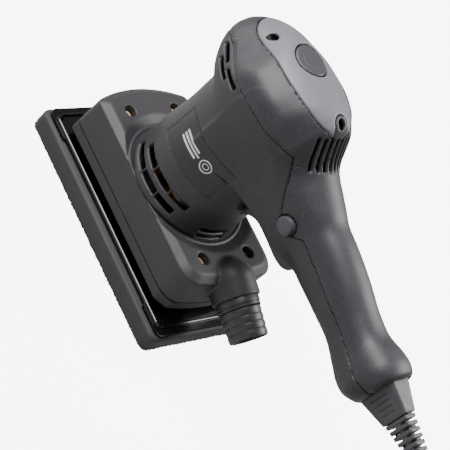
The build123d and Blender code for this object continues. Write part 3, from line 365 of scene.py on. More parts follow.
def gloss_enamel(name, colour):
    """Stoved black enamel on pressed steel: hard gloss over a very slight orange peel."""
    made = new_material(name)
    tree = made[0].node_tree
    rough = spread(tree, noise(tree, 9, 4.0), 0.12, 0.3)
    return coated(made, {"Base Color": linear(colour), "IOR": 1.5}, rough, noise(tree, 2.5, 1.0), 0.2, 0.08)


def satin_metal(name, colour, roughness, metallic=1.0):
    """Plated or ground steel: metal with fine turning or wear marks that vary its gloss."""
    made = new_material(name)
    tree = made[0].node_tree
    marks = noise(tree, 0.7, 3.0)
    rough = spread(tree, marks, roughness - 0.1, roughness + 0.12)
    return coated(made, {"Base Color": linear(colour), "Metallic": metallic}, rough, marks, 0.2, 0.05)


def grained_plastic(name, colour, light, roughness, grain_mm, depth_mm):
    """Glass-filled nylon or ABS from a spark-eroded mould: an even fine grain that spreads the highlights.
    The grain is drawn a little coarser than real, so that it shows."""
    made = new_material(name)
    tree = made[0].node_tree
    grain = noise(tree, grain_mm, 2.5, 0.6)
    tint = tinted(tree, colour, light, spread(tree, grain, 0.0, 0.55, 0.4, 0.72))
    rough = spread(tree, noise(tree, 22, 3.0), roughness - 0.05, roughness + 0.07)
    return coated(made, {"IOR": 1.5}, rough, grain, 0.5, depth_mm, tint)


finish_node("pad_plate", gloss_enamel("black_enamel", "0d0d0e"))
# inset, level
bead_profile = [(0.0, 19.4), (0.0, 20.6), (0.4, 21.6), (1.2, 22.0), (2.0, 21.6), (2.4, 20.6), (2.4, 19.4)]
bead_outline = rounded_loop(96.0, 51.0, 6.0, 4.0)
bead_loops = [[(x * (1 - inset / 96.0), y * (1 - inset / 51.0), level) for x, y in bead_outline]
              for inset, level in bead_profile]
add_piece("plate_bead", stack_mesh("plate_bead", bead_loops), "pad", "black_gloss",
          bpy.data.materials["black_enamel"])
finish_node("pad_plate_screws", satin_metal("black_oxide_steel", "1a191b", 0.35, 0.6))

# ---------------------------------------------------------------- motor and eccentric
# A series motor inside the barrel: laminated steel, enamelled copper, a cast weight and a moulded fan.
# They show only through the slots, as olive and grey glints.
bearing_steel = satin_metal("ground_steel", "a9a9ad", 0.25)
varnished_steel = satin_metal("varnished_laminations", "6d6f5a", 0.4, 0.7)
enamelled_copper = satin_metal("enamelled_copper", "9a5a34", 0.35)
cast_zinc = satin_metal("cast_zinc", "77777a", 0.5)
fan_nylon = grained_plastic("fan_nylon", "6a6f55", "83886a", 0.5, 0.8, 0.05)
black_nylon = grained_plastic("black_nylon", "232224", "302f31", 0.55, 0.7, 0.05)
carbon = grained_plastic("pressed_carbon", "1d1d1d", "3a3a3a", 0.6, 0.3, 0.05)
for names, material in (
        (("eccentric_bearing", "lower_bearing", "upper_bearing", "shaft", "trigger_pin"), bearing_steel),
        (("field_core", "rotor_core"), varnished_steel),
        (("field_windings", "rotor_windings", "commutator"), enamelled_copper),
        (("counterweight",), cast_zinc), (("fan",), fan_nylon), (("carbon_brushes",), carbon),
        (("motor_bracket", "bearing_bridge", "brush_holders", "cord_clamp", "switch_body"), black_nylon),
        (("pad_legs", "inner_lead"), cord_rubber),
        (("plug_pins", "clamp_screws"), satin_metal("nickel_plate", "c9c5ba", 0.3))):
    for name in names:
        finish_node(name, material)

# ---------------------------------------------------------------- shroud and dust elbow
# One glass-filled nylon moulding with bevelled shoulders: it carries the motor in a round dish, the four
# deep screw holes and the elbow of the dust port. Its edges are as soft as a mould leaves them.
SHROUD_STEP_MM = 0.8
OUTLINE_SOFT = 4.0
SCREW_PLACES = [(x, y) for x in (-65.7, 65.7) for y in (-25.2, 25.2)]
SCREW_SEAT = 61.5
PORT_MOUTH = np.array([130.0, 0.0, 53.0])
PORT_DIR = np.array([0.98, 0.0, -0.199]) / math.hypot(0.98, 0.199)
CELL_CORNERS = [(i, j, k) for i in (0, 1) for j in (0, 1) for k in (0, 1)]
CELL_EDGES = [(a, b) for a in CELL_CORNERS for b in CELL_CORNERS if sum(b) - sum(a) == 1 and
              all(y >= x for x, y in zip(a, b))]


def lattice(low, high, step):
    """Sample coordinates of a box, ready to combine into a field of distances."""
    x, y, z = [np.arange(a, b + step, step, dtype=np.float32) for a, b in zip(low, high)]
    return x[:, None, None], y[None, :, None], z[None, None, :]


def join(a, b, blend):
    """The union of two fields, with a fillet in the corner between them."""
    share = np.clip(0.5 + 0.5 * (b - a) / blend, 0, 1)
    return b + (a - b) * share - blend * share * (1 - share)


def meet(a, b, blend):
    """What two fields share, with a round on the edge between them."""
    return -join(-a, -b, blend)


def field_mesh(name, field, low, step, sharp=42):
    """A closed mesh of quads where a sampled field crosses zero; the field is negative inside the piece."""
    inside = field < 0
    cells = tuple(n - 1 for n in field.shape)
    total = np.zeros(cells, np.int8)
    for i, j, k in CELL_CORNERS:
        total += inside[i:i + cells[0], j:j + cells[1], k:k + cells[2]]
    active = np.argwhere((total > 0) & (total < 8))
    number = np.full(cells, -1, np.int32)
    number[tuple(active.T)] = np.arange(len(active))
    place = np.zeros((len(active), 3))
    crossings = np.zeros(len(active))
    for a, b in CELL_EDGES:
        value_a = field[tuple((active + a).T)]
        value_b = field[tuple((active + b).T)]
        crossed = (value_a < 0) != (value_b < 0)
        share = value_a / np.where(crossed, value_a - value_b, 1)
        place += crossed[:, None] * (np.array(a) + share[:, None] * (np.array(b) - np.array(a)))
        crossings += crossed
    place = (active + place / crossings[:, None]) * step + np.array(low)
    quads = []
    for axis in range(3):
        near = [slice(1, n) for n in cells]
        near[axis] = slice(0, cells[axis])
        far = list(near)
        far[axis] = slice(1, cells[axis] + 1)
        offset = np.ones(3, int)
        offset[axis] = 0
        at = np.argwhere(inside[tuple(near)] != inside[tuple(far)]) + offset
        u = np.eye(3, dtype=int)[(axis + 1) % 3]
        v = np.eye(3, dtype=int)[(axis + 2) % 3]
        around = np.stack([number[tuple((at - d).T)] for d in (u + v, v, np.zeros(3, int), u)], axis=1)
        outward = inside[tuple(at.T)]
        around[~outward] = around[~outward][:, ::-1]
        quads.append(around)
    quads = np.concatenate(quads)
    mesh = bpy.data.meshes.new(name)
    mesh.vertices.add(len(place))
    mesh.vertices.foreach_set("co", (place * MM).astype(np.float32).ravel())
    mesh.loops.add(quads.size)
    mesh.loops.foreach_set("vertex_index", quads.ravel().astype(np.int32))
    mesh.polygons.add(len(quads))
    mesh.polygons.foreach_set("loop_start", np.arange(0, quads.size, 4, dtype=np.int32))
    mesh.update(calc_edges=True)
    mesh.validate()
    mesh.shade_smooth()
    mesh.set_sharp_from_angle(angle=math.radians(sharp))
    return mesh


def shroud_outline(x, y):
    """Distance to the shroud's outline in plan: bowed front and rear, straight sides, cut rear corners."""
    front = np.hypot(x - 45.2, y) - 133.7
    rear = np.hypot(x + 115.0, y) - 203.0
    side = np.abs(y) - 49.5
    corner = 0.5735 * (x - 73.5) + 0.819 * (np.abs(y) - 49.5)
    return meet(meet(front, rear, OUTLINE_SOFT), meet(side, corner, OUTLINE_SOFT), OUTLINE_SOFT)


def port_frame(x, y, z):
    """Distance back from the dust port's mouth along its axis, and distance from that axis."""
    along = (x - PORT_MOUTH[0]) * PORT_DIR[0] + (z - PORT_MOUTH[2]) * PORT_DIR[2]
    up = (z - PORT_MOUTH[2]) * PORT_DIR[0] - (x - PORT_MOUTH[0]) * PORT_DIR[2]
    return -along, np.hypot(y, up)


shroud_low = (-92.0, -53.0, 36.0)
x, y, z = lattice(shroud_low, (106.0, 53.0, 84.0), SHROUD_STEP_MM)
outline = shroud_outline(x, y)
bevel = (4.5 * outline + 7.0 * (z - 65.5)) / math.hypot(4.5, 7.0)
body = meet(meet(outline, bevel, 0.9), z - 70.0, 0.9)
radius = np.hypot(x, y)
dish = np.maximum((radius - 54.5 - 2 * (z - 66.0)) / math.sqrt(5), 66.0 - z)
body = meet(body, -dish, 0.8)
rim = np.maximum(np.abs(radius - 53.3) - 1.1, z - 67.0)          # the low ring that seals the dish's floor
body = join(body, np.maximum(rim, np.maximum(outline + 0.6, 62 - z)), 0.8)
back_from_mouth, from_axis = port_frame(x, y, z)
ball = np.hypot(np.maximum(back_from_mouth - 46.0, 0), from_axis) - 19.0
elbow = np.maximum(ball, 31.6 - back_from_mouth)
body = join(body, elbow, 2.2)
body = np.maximum(body, 38.0 - z)
hollow = np.maximum(outline + 3.0, z - 61.0)
body = np.maximum(body, -hollow)
body = np.maximum(body, -(radius - 45.8))
bore = np.maximum(from_axis - 14.5, back_from_mouth - 54.0)
body = np.maximum(body, -bore)
for sx, sy in SCREW_PLACES:
    around = np.hypot(x - sx, y - sy)
    boss = np.maximum(around - 7.5, np.maximum(z - 67.0, 46.0 - z))
    body = np.minimum(body, boss)
    body = meet(body, -np.maximum(around - 5.1, SCREW_SEAT - z), 0.9)
    body = np.maximum(body, -(around - 2.3))
charcoal = grained_plastic("charcoal_nylon", "2a282b", "3d3b3f", 0.52, 0.9, 0.09)
add_piece("shroud_shell", field_mesh("shroud_shell", body, shroud_low, SHROUD_STEP_MM), "housing",
          "charcoal_plastic", charcoal, "shroud")
finish_node("skirt", charcoal)


def cross_screw(build, x, y, seat, head_r, head_h, shank_r, shank_l):
    """One pan-head screw with a six-lobed recess, head upward."""
    steps = 48
    rings = [(shank_r, -shank_l), (shank_r, 0.0), (head_r, 0.0), (head_r, head_h * 0.55),
             (head_r * 0.86, head_h * 0.9), (head_r * 0.62, head_h)]
    rows = []
    for radius, level in rings:
        rows.append([build.verts.new(Vector((x + radius * math.cos(2 * math.pi * i / steps),
                                             y + radius * math.sin(2 * math.pi * i / steps), seat + level)) * MM)
                     for i in range(steps)])
    for share, level in ((1.0, head_h), (0.92, head_h * 0.3)):
        row = []
        for i in range(steps):
            angle = 2 * math.pi * i / steps
            lobe = head_r * (0.42 + 0.1 * math.cos(6 * angle)) * share
            row.append(build.verts.new(Vector((x + lobe * math.cos(angle), y + lobe * math.sin(angle),
                                               seat + level)) * MM))
        rows.append(row)
    for lower, upper in zip(rows, rows[1:]):
        for i in range(steps):
            j = (i + 1) % steps
            build.faces.new((lower[i], lower[j], upper[j], upper[i]))
    build.faces.new(rows[-1])
    build.faces.new(list(reversed(rows[0])))


def screw_group(name, places, head_r, head_h, shank_r, shank_l):
    """Like screws as one mesh."""
    mesh = bpy.data.meshes.new(name)
    build = bmesh.new()
    for x, y, seat in places:
        cross_screw(build, x, y, seat, head_r, head_h, shank_r, shank_l)
    return close_mesh(build, mesh, 30)


yellow_zinc = satin_metal("yellow_zinc", "e6c8a0", 0.4, 0.35)
shroud_seats = [(x, y, SCREW_SEAT + 0.1) for x, y in SCREW_PLACES]
add_piece("shroud_fixings", screw_group("shroud_fixings", shroud_seats, 4.5, 3.2, 2.1, 10), "housing",
          "pale_screw", yellow_zinc, "shroud_screws")

# ---------------------------------------------------------------- dust collar and nozzle
# Two soft PVC mouldings: a plain collar pressed on the elbow, and the nozzle that turns in it,
# with four hose ribs that step down towards the mouth.
LATHE_STEPS = 96


def lathe_mesh(name, profile, origin, axis, closed=True, sharp=30):
    """A profile of (distance back along the axis, radius) turned about that axis."""
    mesh = bpy.data.meshes.new(name)
    build = bmesh.new()
    axis = Vector(axis).normalized()
    side = Vector((0, 1, 0)) if abs(axis.y) < 0.9 else Vector((1, 0, 0))
    other = axis.cross(side).normalized()
    side = other.cross(axis)
    rows = []
    for along, radius in profile:
        centre = Vector(origin) - axis * along
        rows.append([build.verts.new((centre + (side * math.cos(2 * math.pi * i / LATHE_STEPS) +
                                                other * math.sin(2 * math.pi * i / LATHE_STEPS)) * radius) * MM)
                     for i in range(LATHE_STEPS)])
    pairs = list(zip(rows, rows[1:])) + ([(rows[-1], rows[0])] if closed else [])
    for lower, upper in pairs:
        for i in range(LATHE_STEPS):
            j = (i + 1) % LATHE_STEPS
            build.faces.new((lower[i], lower[j], upper[j], upper[i]))
    if not closed:
        build.faces.new(list(reversed(rows[0])))
        build.faces.new(rows[-1])
    return close_mesh(build, mesh, sharp)


nozzle_pvc = moulded_rubber("nozzle_pvc", "323034", 0.42, 0.6)
collar_profile = [(31.5, 14.6), (31.5, 17.0), (31.0, 17.2), (26.6, 17.2), (26.2, 16.5), (25.4, 16.5),
                  (25.0, 17.1), (24.1, 17.1), (23.6, 16.6), (23.5, 14.6)]
add_piece("port_ring", lathe_mesh("port_ring", collar_profile, PORT_MOUTH, PORT_DIR), "housing", "black_rubber",
          nozzle_pvc, "port_collar")
NOZZLE_L = 23.1
NOZZLE_RIBS = 4
rib_l = NOZZLE_L / NOZZLE_RIBS
nozzle_profile = [(NOZZLE_L, 13.5)]
for rib in range(NOZZLE_RIBS):
    rib_r = 16.3 - rib * 0.233
    start = NOZZLE_L - rib * rib_l
    nozzle_profile += [(start, rib_r - 0.75), (start - 0.35, rib_r - 0.1), (start - 0.9, rib_r),
                       (start - rib_l * 0.7, rib_r - 0.25), (start - rib_l + 0.12, rib_r - 0.75)]
nozzle_profile += [(0.3, 15.0), (0.0, 14.6), (0.0, 14.0), (0.5, 13.5)]
add_piece("hose_nozzle", lathe_mesh("hose_nozzle", nozzle_profile, PORT_MOUTH, PORT_DIR), "nozzle", "black_rubber",
          nozzle_pvc, "dust_nozzle")

# ---------------------------------------------------------------- housing shells
# Two grained nylon shells: the lower one is the motor barrel, its flare and the underside of the handle, the
# upper one the hood and the handle's back. They meet along a stepped seam, and are 3 mm thick inside.
HOUSING_STEP = 1.0
SHELL_WALL = 3.0
SEAM_HALF = 0.28
CROWN = [(-74, 172), (-71, 184), (-68, 191), (-62, 199.6), (-55, 207.4), (-46, 214.4), (-36, 219.2),
         (-24, 221.5), (-8, 222.2), (20, 222.2), (32, 221.6), (42, 219.6), (47, 216.8), (52, 209.6),
         (57, 201.4), (62, 194.4), (68, 189.4), (76, 185), (84, 180.4), (92, 175.6), (100, 168), (120, 150)]
# times the square of the distance from the middle
DOME_FALL = [(-80, 0.03), (-45, 0.028), (-30, 0.0185), (-15, 0.011), (0, 0.0095), (18, 0.0098),
             (30, 0.0125), (45, 0.022), (60, 0.026), (90, 0.026), (120, 0.03)]
WAIST = [(0, 47.2), (15, 46.4), (30, 43.6), (42, 39.8), (51, 36.2), (62, 31.6), (74, 26.8), (86, 21.8),
         (96, 15.5), (104, 9), (120, 2)]   # half width of the hood, towards the handle
LOW_WAIST = [(0, 46), (20, 41), (34, 36), (46, 30.5), (58, 26.5), (70, 23.6), (84, 19.5), (96, 13.5),
             (104, 8), (120, 2)]
BARREL = [(56, 50.5), (66, 50.5), (68.5, 50.5), (72, 49.6), (82, 48.7), (101, 48.6), (112, 47.6),
          (120, 47), (150, 46.8), (190, 46.6)]   # level and radius
FLARE = [(-12, -9), (-4, -2.6), (0, 0.2), (4, 4.6), (8, 8.8), (14, 14.0), (20, 18.4), (26, 21.8),
         (34, 24.2), (60, 30)]
HANDLE = [(30, 155.5, 25, 30), (56, 156.5, 27, 28), (70, 156, 26.4, 25.5), (84, 155, 25.4, 23.6),
          (100, 152.8, 24.8, 22.2), (120, 151, 25, 21.2), (145, 148.6, 23.2, 20.6),
          (170, 144.8, 21.2, 19.8), (186, 141.6, 22.8, 21.4), (200, 141.6, 25.6, 24.6),
          (208, 142.6, 25.4, 25.2), (214, 144, 23.2, 23.4), (220, 145, 20, 20)]
HANDLE_END = 219.0
SEAM = [(-80, 172), (-69, 178.5), (-62, 182.8), (-55, 186), (-44, 188.5), (-20, 188.5), (20, 188.6),
        (51, 188.4), (52, 187.6), (75, 156.2), (77, 154.4), (93, 150.2), (95, 150.8), (101, 156.2),
        (103, 156.5), (135, 152), (184, 145.5), (203, 144), (225, 146)]
BARREL_SLOTS = [(-135, -104, 71.8, 77.8), (-102, -79, 71.8, 77.8), (-77, -56, 71.8, 77.8),
                (-122, -97, 82.8, 89.6), (-95, -72, 82.8, 89.6), (-70, -49, 82.8, 89.6)]
HEAD_SLOTS = [(-150, -129, 181.7, 185.2), (-139, -115, 176.8, 180.3), (-122, -101, 181.7, 185.2)]
REAR_SLOTS = [(-25, 6, 73.0, 77.0), (-25, 6, 67.5, 70.5)]
LABEL = (-122.0, -42.0, 106.0, 139.0)   # start and end angle, bottom and top
LABEL_DEPTH = 0.9
CAP_REACH = (56.0, 52.0, 27.8)  # to the front, to the rear, half width
CAP_SQUARE = 2.3                # how square the cap's front is (2 is an ellipse)
CAP_SCREWS = [(-34.0, -17.0), (-34.0, 17.0), (44.0, 0.0)]
CAP_THICK = 2.5
CAP_GAP = 0.55
TOWER = (44.0, 6.3)
BADGE = (-8.0, 13.8)
VENT_PITCH = 5.6
VENTS = 7
VENT_MIDDLE = (58.0, 199.0)       # distance back and level
VENT_LEAN = (0.79, 0.61)          # the way the vented face looks: back and up
SCREW_WELL_R = 3.6              # wells over the cap's and the handle's screws
HANDLE_SCREWS = (128.0, 176.0, 205.0)
BOOT_MID_Z = 144.0
TRIGGER_SLOT = (81.5, 31.0, 11.0, 100.0, 134.0)   # middle, half length, half width, bottom, top
TRIGGER_PIN = (62.0, 132.0)
TONGUE = (1.6, 1.5)             # behind the seam: depth below the skin, half height
REBATE = (1.4, 1.8)             # the upper shell's cut for it: depth, height
PANEL_R = 46.6
BUTTON = (86.0, 152.0, 7.5)     # lock button: place along the handle, height, radius


def smooth_curve(at, points):
    """Values along a curve with no corners that passes through the given points."""
    knots, values = np.array(points, dtype=float)[:, :2].T
    slopes = np.gradient(values, knots)
    index = np.clip(np.searchsorted(knots, at) - 1, 0, len(knots) - 2)
    width = knots[index + 1] - knots[index]
    t = np.clip((at - knots[index]) / width, 0, 1)
    return (((1 + 2 * t) * (1 - t) ** 2) * values[index] + t * (1 - t) ** 2 * width * slopes[index]
            + t * t * (3 - 2 * t) * values[index + 1] + t * t * (t - 1) * width * slopes[index + 1]).astype(np.float32)


def dome(x, y):
    """Height of the hood's top surface, and the factor that turns height above it into distance."""
    flat = np.ravel(x)
    crown = smooth_curve(flat, CROWN).reshape(np.shape(x))
    slope = np.gradient(smooth_curve(flat, CROWN), flat).reshape(np.shape(x))
    fall = smooth_curve(flat, DOME_FALL).reshape(np.shape(x))
    return crown - fall * y * y, 1 / np.sqrt(1 + slope ** 2 + (2 * fall * y) ** 2)


def housing_field(x, y, z):
    """The outer skin of both shells together, as a field of distances."""
    radius = np.hypot(x, y)
    barrel = np.maximum(radius - smooth_curve(np.ravel(z), BARREL).reshape(z.shape), z - 180.0)
    height, steep = dome(x, y)
    top = (z - height) * steep
    nose = np.sqrt((np.minimum(x, 0) / 71.0) ** 2 + (y / 48.4) ** 2) + 1e-6
    front = radius * (1 - 1 / np.maximum(nose, 0.05))
    share = np.clip((z - 150.0) / 36.0, 0, 1)
    share = share * share * (3 - 2 * share)
    flat = np.ravel(x)
    wide = smooth_curve(flat, WAIST).reshape(x.shape)
    low = smooth_curve(flat, LOW_WAIST).reshape(x.shape)
    rear = np.abs(y) - (low + (wide - low) * share)
    above = z - (165.0 + 0.06 * x)
    cone = (radius - 46.8 - np.interp(above, *np.array(FLARE, dtype=float).T)) * 0.72
    head = meet(np.where(x < 0, front, np.abs(y) - wide - (1 - x / 100)), cone, 5.0)
    head = np.where(x > 60, 20.0, head)
    neck = np.maximum(np.maximum(rear, -x), 130.0 - z)
    neck = np.maximum(neck, x - 104.0)
    upper = meet(join(head, neck, 4.0), top, 7.0)
    middle, tall, half = [smooth_curve(flat, [(station[0], station[i]) for station in HANDLE]).reshape(x.shape)
                          for i in (1, 2, 3)]
    oval = (np.abs(y / half) ** 2.3 + np.abs((z - middle) / tall) ** 2.3) ** (1 / 2.3)
    grip = (oval - 1) * np.minimum(tall, half)
    grip = meet(np.maximum(grip, 40.0 - x), x - HANDLE_END, 4.0)
    return join(join(barrel, upper, 7.0), grip, 12.0)


housing_low = (-76.0, -53.0, 57.0)
x, y, z = lattice(housing_low, (222.0, 53.0, 227.0), HOUSING_STEP)
skin = housing_field(x, y, z)
radius = np.hypot(x, y)
angle = np.degrees(np.arctan2(y, x))


def sector(start, end, bottom, top, inner=30.0):
    """A block bounded by two angles about the motor axis and two levels, outside an inner radius."""
    across = (np.abs(angle - (start + end) / 2) - (end - start) / 2) * np.radians(1) * radius
    return meet(meet(across, np.abs(z - (bottom + top) / 2) - (top - bottom) / 2, 1.0), inner - radius, 1.0)


shell = np.maximum(skin, -(skin + SHELL_WALL))
shell = np.maximum(shell, 66.1 - z)
spigot = np.maximum(np.abs(radius - 44.6) - 0.9, np.abs(z - 63.5) - 3.5)
shell = np.minimum(shell, spigot)
foot_step = np.maximum(np.abs(radius - 50.6) - 0.9, np.abs(z - 71.0) - 0.35)     # shadow line above the foot ring
shell = meet(shell, -foot_step, 0.4)
for start, end, bottom, top in BARREL_SLOTS + HEAD_SLOTS:
    shell = meet(shell, -sector(start, end, bottom, top), 0.5)
    shell = meet(shell, -sector(-end, -start, bottom, top), 0.5)
for slot in REAR_SLOTS:
    shell = meet(shell, -sector(*slot), 0.5)
label_recess = np.maximum(sector(*LABEL), -(skin + LABEL_DEPTH))
shell = np.maximum(shell, -label_recess)
along = -VENT_LEAN[1] * (x - VENT_MIDDLE[0]) + VENT_LEAN[0] * (z - VENT_MIDDLE[1])
for row in range(VENTS):
    offset = (row - (VENTS - 1) / 2) * VENT_PITCH
    vent = np.maximum(np.hypot(y - offset, np.maximum(np.abs(along) - 11.5, 0)) - 1.75,
                      np.abs(VENT_LEAN[0] * (x - VENT_MIDDLE[0]) + VENT_LEAN[1] * (z - VENT_MIDDLE[1])) - 14.0)
    shell = meet(shell, -vent, 0.6)
around_button = np.hypot(x - BUTTON[0], z - BUTTON[1])
shell = meet(shell, -np.maximum(around_button - BUTTON[2] - 0.5, y + 10.0), 0.5)
boot_hole = np.maximum(np.maximum(np.abs(y) - 10.5, np.abs(z - BOOT_MID_Z) - 17.5), 205.0 - x)
shell = np.maximum(shell, -boot_hole)
slot_x, slot_half, slot_side, slot_low, slot_top = TRIGGER_SLOT
trigger_slot = np.maximum(np.maximum(np.abs(y) - slot_side, np.abs(x - slot_x) - slot_half),
                          np.maximum(z - slot_top, slot_low - z))
shell = np.maximum(shell, -trigger_slot)
for place in HANDLE_SCREWS:
    shell = meet(shell, -np.maximum(np.hypot(x - place, y) - SCREW_WELL_R, z - 132.0), 0.5)

height = dome(x, y)[0]


def cap_plan(grow):
    """Distance to the cap's outline in plan, with the notch for the screw tower."""
    reach = np.where(x < 0, CAP_REACH[0], CAP_REACH[1]) + grow
    power = np.where(x < 0, CAP_SQUARE, 2.0)
    ratio = (np.abs(x / reach) ** power + np.abs(y / (CAP_REACH[2] + grow)) ** power) ** (1 / power)
    egg = np.hypot(x, y) * (1 - 1 / np.maximum(ratio, 0.05))
    notch = np.where(x > TOWER[0], np.abs(y), np.hypot(x - TOWER[0], y)) - (TOWER[1] + CAP_GAP - grow)
    return meet(egg, -notch, 1.6)


cap_bed = np.maximum(cap_plan(CAP_GAP), height - CAP_THICK - 0.2 - z)
shell = np.maximum(shell, -cap_bed)
for px, py in CAP_SCREWS:
    shell = meet(shell, -np.maximum(np.hypot(x - px, y - py) - SCREW_WELL_R, 208.0 - z), 0.5)
seam_line = np.interp(x, *np.array(SEAM, dtype=float).T)
seam_slope = np.gradient(seam_line[:, 0, 0], x[:, 0, 0])[:, None, None]
above_seam = (z - seam_line) / np.sqrt(1 + seam_slope ** 2)

hood_nylon = grained_plastic("hood_nylon", "2b292d", "454349", 0.49, 1.1, 0.12)
lower_shell = meet(shell, above_seam + SEAM_HALF, 0.5)
upper_shell = meet(shell, SEAM_HALF - above_seam, 0.5)
# The lower shell's inner half stands up behind the seam as a tongue, so that no light comes through.
tongue = np.maximum(np.maximum(shell, skin + TONGUE[0]), np.abs(above_seam) - TONGUE[1])
lower_shell = np.minimum(lower_shell, tongue)
upper_shell = np.maximum(upper_shell, -np.maximum(skin + REBATE[0], above_seam - REBATE[1]))
add_piece("lower_shell", field_mesh("lower_shell", lower_shell, housing_low, HOUSING_STEP), "housing",
          "charcoal_plastic", charcoal, "lower_housing")
add_piece("upper_shell", field_mesh("upper_shell", upper_shell, housing_low, HOUSING_STEP), "housing",
          "charcoal_plastic", hood_nylon, "upper_housing")

# ---------------------------------------------------------------- label panel
# A smooth printed foil panel, set into a shallow recess on the barrel's left side. Its printed mark is
# generic: two rings and three bars in white.
FOIL_TOP = 0.45                # how far the foil lies below the skin
MARK_CENTRE = (-84.0, 125.0)   # angle and level
ANGLE_STEPS, LEVEL_STEPS = 60, 24


def skin_radius(turn, level, depth):
    """Radius at which a line out from the motor axis comes to a depth below the housing's skin."""
    out = np.arange(40.0, 62.0, 0.2)
    points = np.stack([out * math.cos(math.radians(turn)), out * math.sin(math.radians(turn)),
                       np.full(len(out), level)], axis=1)
    cell = np.clip((points - np.array(housing_low)) / HOUSING_STEP, 0, np.array(skin.shape) - 1.01)
    corner = np.floor(cell).astype(int)
    part = cell - corner
    value = np.zeros(len(out))
    for offset in CELL_CORNERS:
        weight = np.prod(np.where(np.array(offset) > 0, part, 1 - part), axis=1)
        value += weight * skin[tuple((corner + np.array(offset)).T)]
    return float(np.interp(-depth, value, out))


def on_panel(across, up, depth):
    """A point of the panel, from millimetres across and up from the mark's centre."""
    turn = MARK_CENTRE[0] + math.degrees(across / PANEL_R)
    reach = skin_radius(turn, MARK_CENTRE[1] + up, depth)
    return (reach * math.cos(math.radians(turn)), reach * math.sin(math.radians(turn)), MARK_CENTRE[1] + up)


foil_mesh = bpy.data.meshes.new("label_foil")
build = bmesh.new()
sheets = []
for depth in (FOIL_TOP, LABEL_DEPTH - 0.05):
    sheet = []
    for i in range(ANGLE_STEPS + 1):
        turn = LABEL[0] + 0.5 + (LABEL[1] - LABEL[0] - 1.0) * i / ANGLE_STEPS
        for j in range(LEVEL_STEPS + 1):
            level = LABEL[2] + 0.4 + (LABEL[3] - LABEL[2] - 0.8) * j / LEVEL_STEPS
            reach = skin_radius(turn, level, depth)
            sheet.append(build.verts.new(Vector((reach * math.cos(math.radians(turn)),
                                                 reach * math.sin(math.radians(turn)), level)) * MM))
    sheets.append(sheet)
row = LEVEL_STEPS + 1
for i in range(ANGLE_STEPS):
    for j in range(LEVEL_STEPS):
        at = [i * row + j, (i + 1) * row + j, (i + 1) * row + j + 1, i * row + j + 1]
        build.faces.new([sheets[0][k] for k in at])
        build.faces.new([sheets[1][k] for k in reversed(at)])
edge = [j for j in range(row)] + [i * row + LEVEL_STEPS for i in range(1, ANGLE_STEPS + 1)]
edge += [ANGLE_STEPS * row + j for j in range(LEVEL_STEPS - 1, -1, -1)]
edge += [i * row for i in range(ANGLE_STEPS - 1, 0, -1)]
for a, b in zip(edge, edge[1:] + edge[:1]):
    build.faces.new((sheets[0][a], sheets[0][b], sheets[1][b], sheets[1][a]))
close_mesh(build, foil_mesh, 40)
foil = grained_plastic("label_foil", "1f1e21", "242326", 0.4, 1.2, 0.01)
add_piece("label_foil", foil_mesh, "housing", "dark_grey_plastic", foil, "label_panel")

mark_mesh = bpy.data.meshes.new("label_mark")
build = bmesh.new()


def ribbon(line, width, closed=False):
    """A flat printed line on the panel, 0.1 mm thick, with square ends."""
    pairs = []
    for i, (across, up) in enumerate(line):
        before = line[i - 1] if i or closed else line[0]
        after = line[(i + 1) % len(line)] if i + 1 < len(line) or closed else line[-1]
        way = Vector((after[0] - before[0], after[1] - before[1])).normalized() * (width / 2)
        sides = [(across - way.y, up + way.x), (across + way.y, up - way.x)]
        pairs.append([[build.verts.new(Vector(on_panel(*side, depth)) * MM) for side in sides]
                      for depth in (FOIL_TOP - 0.12, FOIL_TOP + 0.1)])
    runs = list(zip(pairs, pairs[1:])) + ([(pairs[-1], pairs[0])] if closed else [])
    for (top_a, base_a), (top_b, base_b) in runs:
        build.faces.new((top_a[0], top_a[1], top_b[1], top_b[0]))
        build.faces.new((base_a[0], base_b[0], base_b[1], base_a[1]))
        build.faces.new((top_a[0], top_b[0], base_b[0], base_a[0]))
        build.faces.new((top_a[1], base_a[1], base_b[1], top_b[1]))
    if not closed:
        for (top, base), flip in ((pairs[0], False), (pairs[-1], True)):
            end = (top[0], base[0], base[1], top[1])
            build.faces.new(end[::-1] if flip else end)


def straight(start, end, steps=8):
    """Points along a straight printed line."""
    return [(start[0] + (end[0] - start[0]) * i / steps, start[1] + (end[1] - start[1]) * i / steps)
            for i in range(steps + 1)]


RING_ACROSS = 14
for ring_r, step, width in ((5.2, 12, 0.9), (2.6, 20, 0.7)):
    ribbon([(RING_ACROSS + ring_r * math.cos(math.radians(a)), ring_r * math.sin(math.radians(a)))
            for a in range(0, 360, step)], width, True)
for up, start, end in ((3.4, -17, 4), (0.0, -17, 6), (-3.4, -17, 4)):
    ribbon(straight((start, up), (end, up)), 1.7)
bmesh.ops.recalc_face_normals(build, faces=build.faces)
build.to_mesh(mark_mesh)
build.free()
add_piece("label_mark", mark_mesh, "housing", "dark_grey_plastic",
          grained_plastic("white_print", "dcdcdc", "e6e6e6", 0.5, 0.8, 0.005))
finish_node("handle_screws", yellow_zinc)

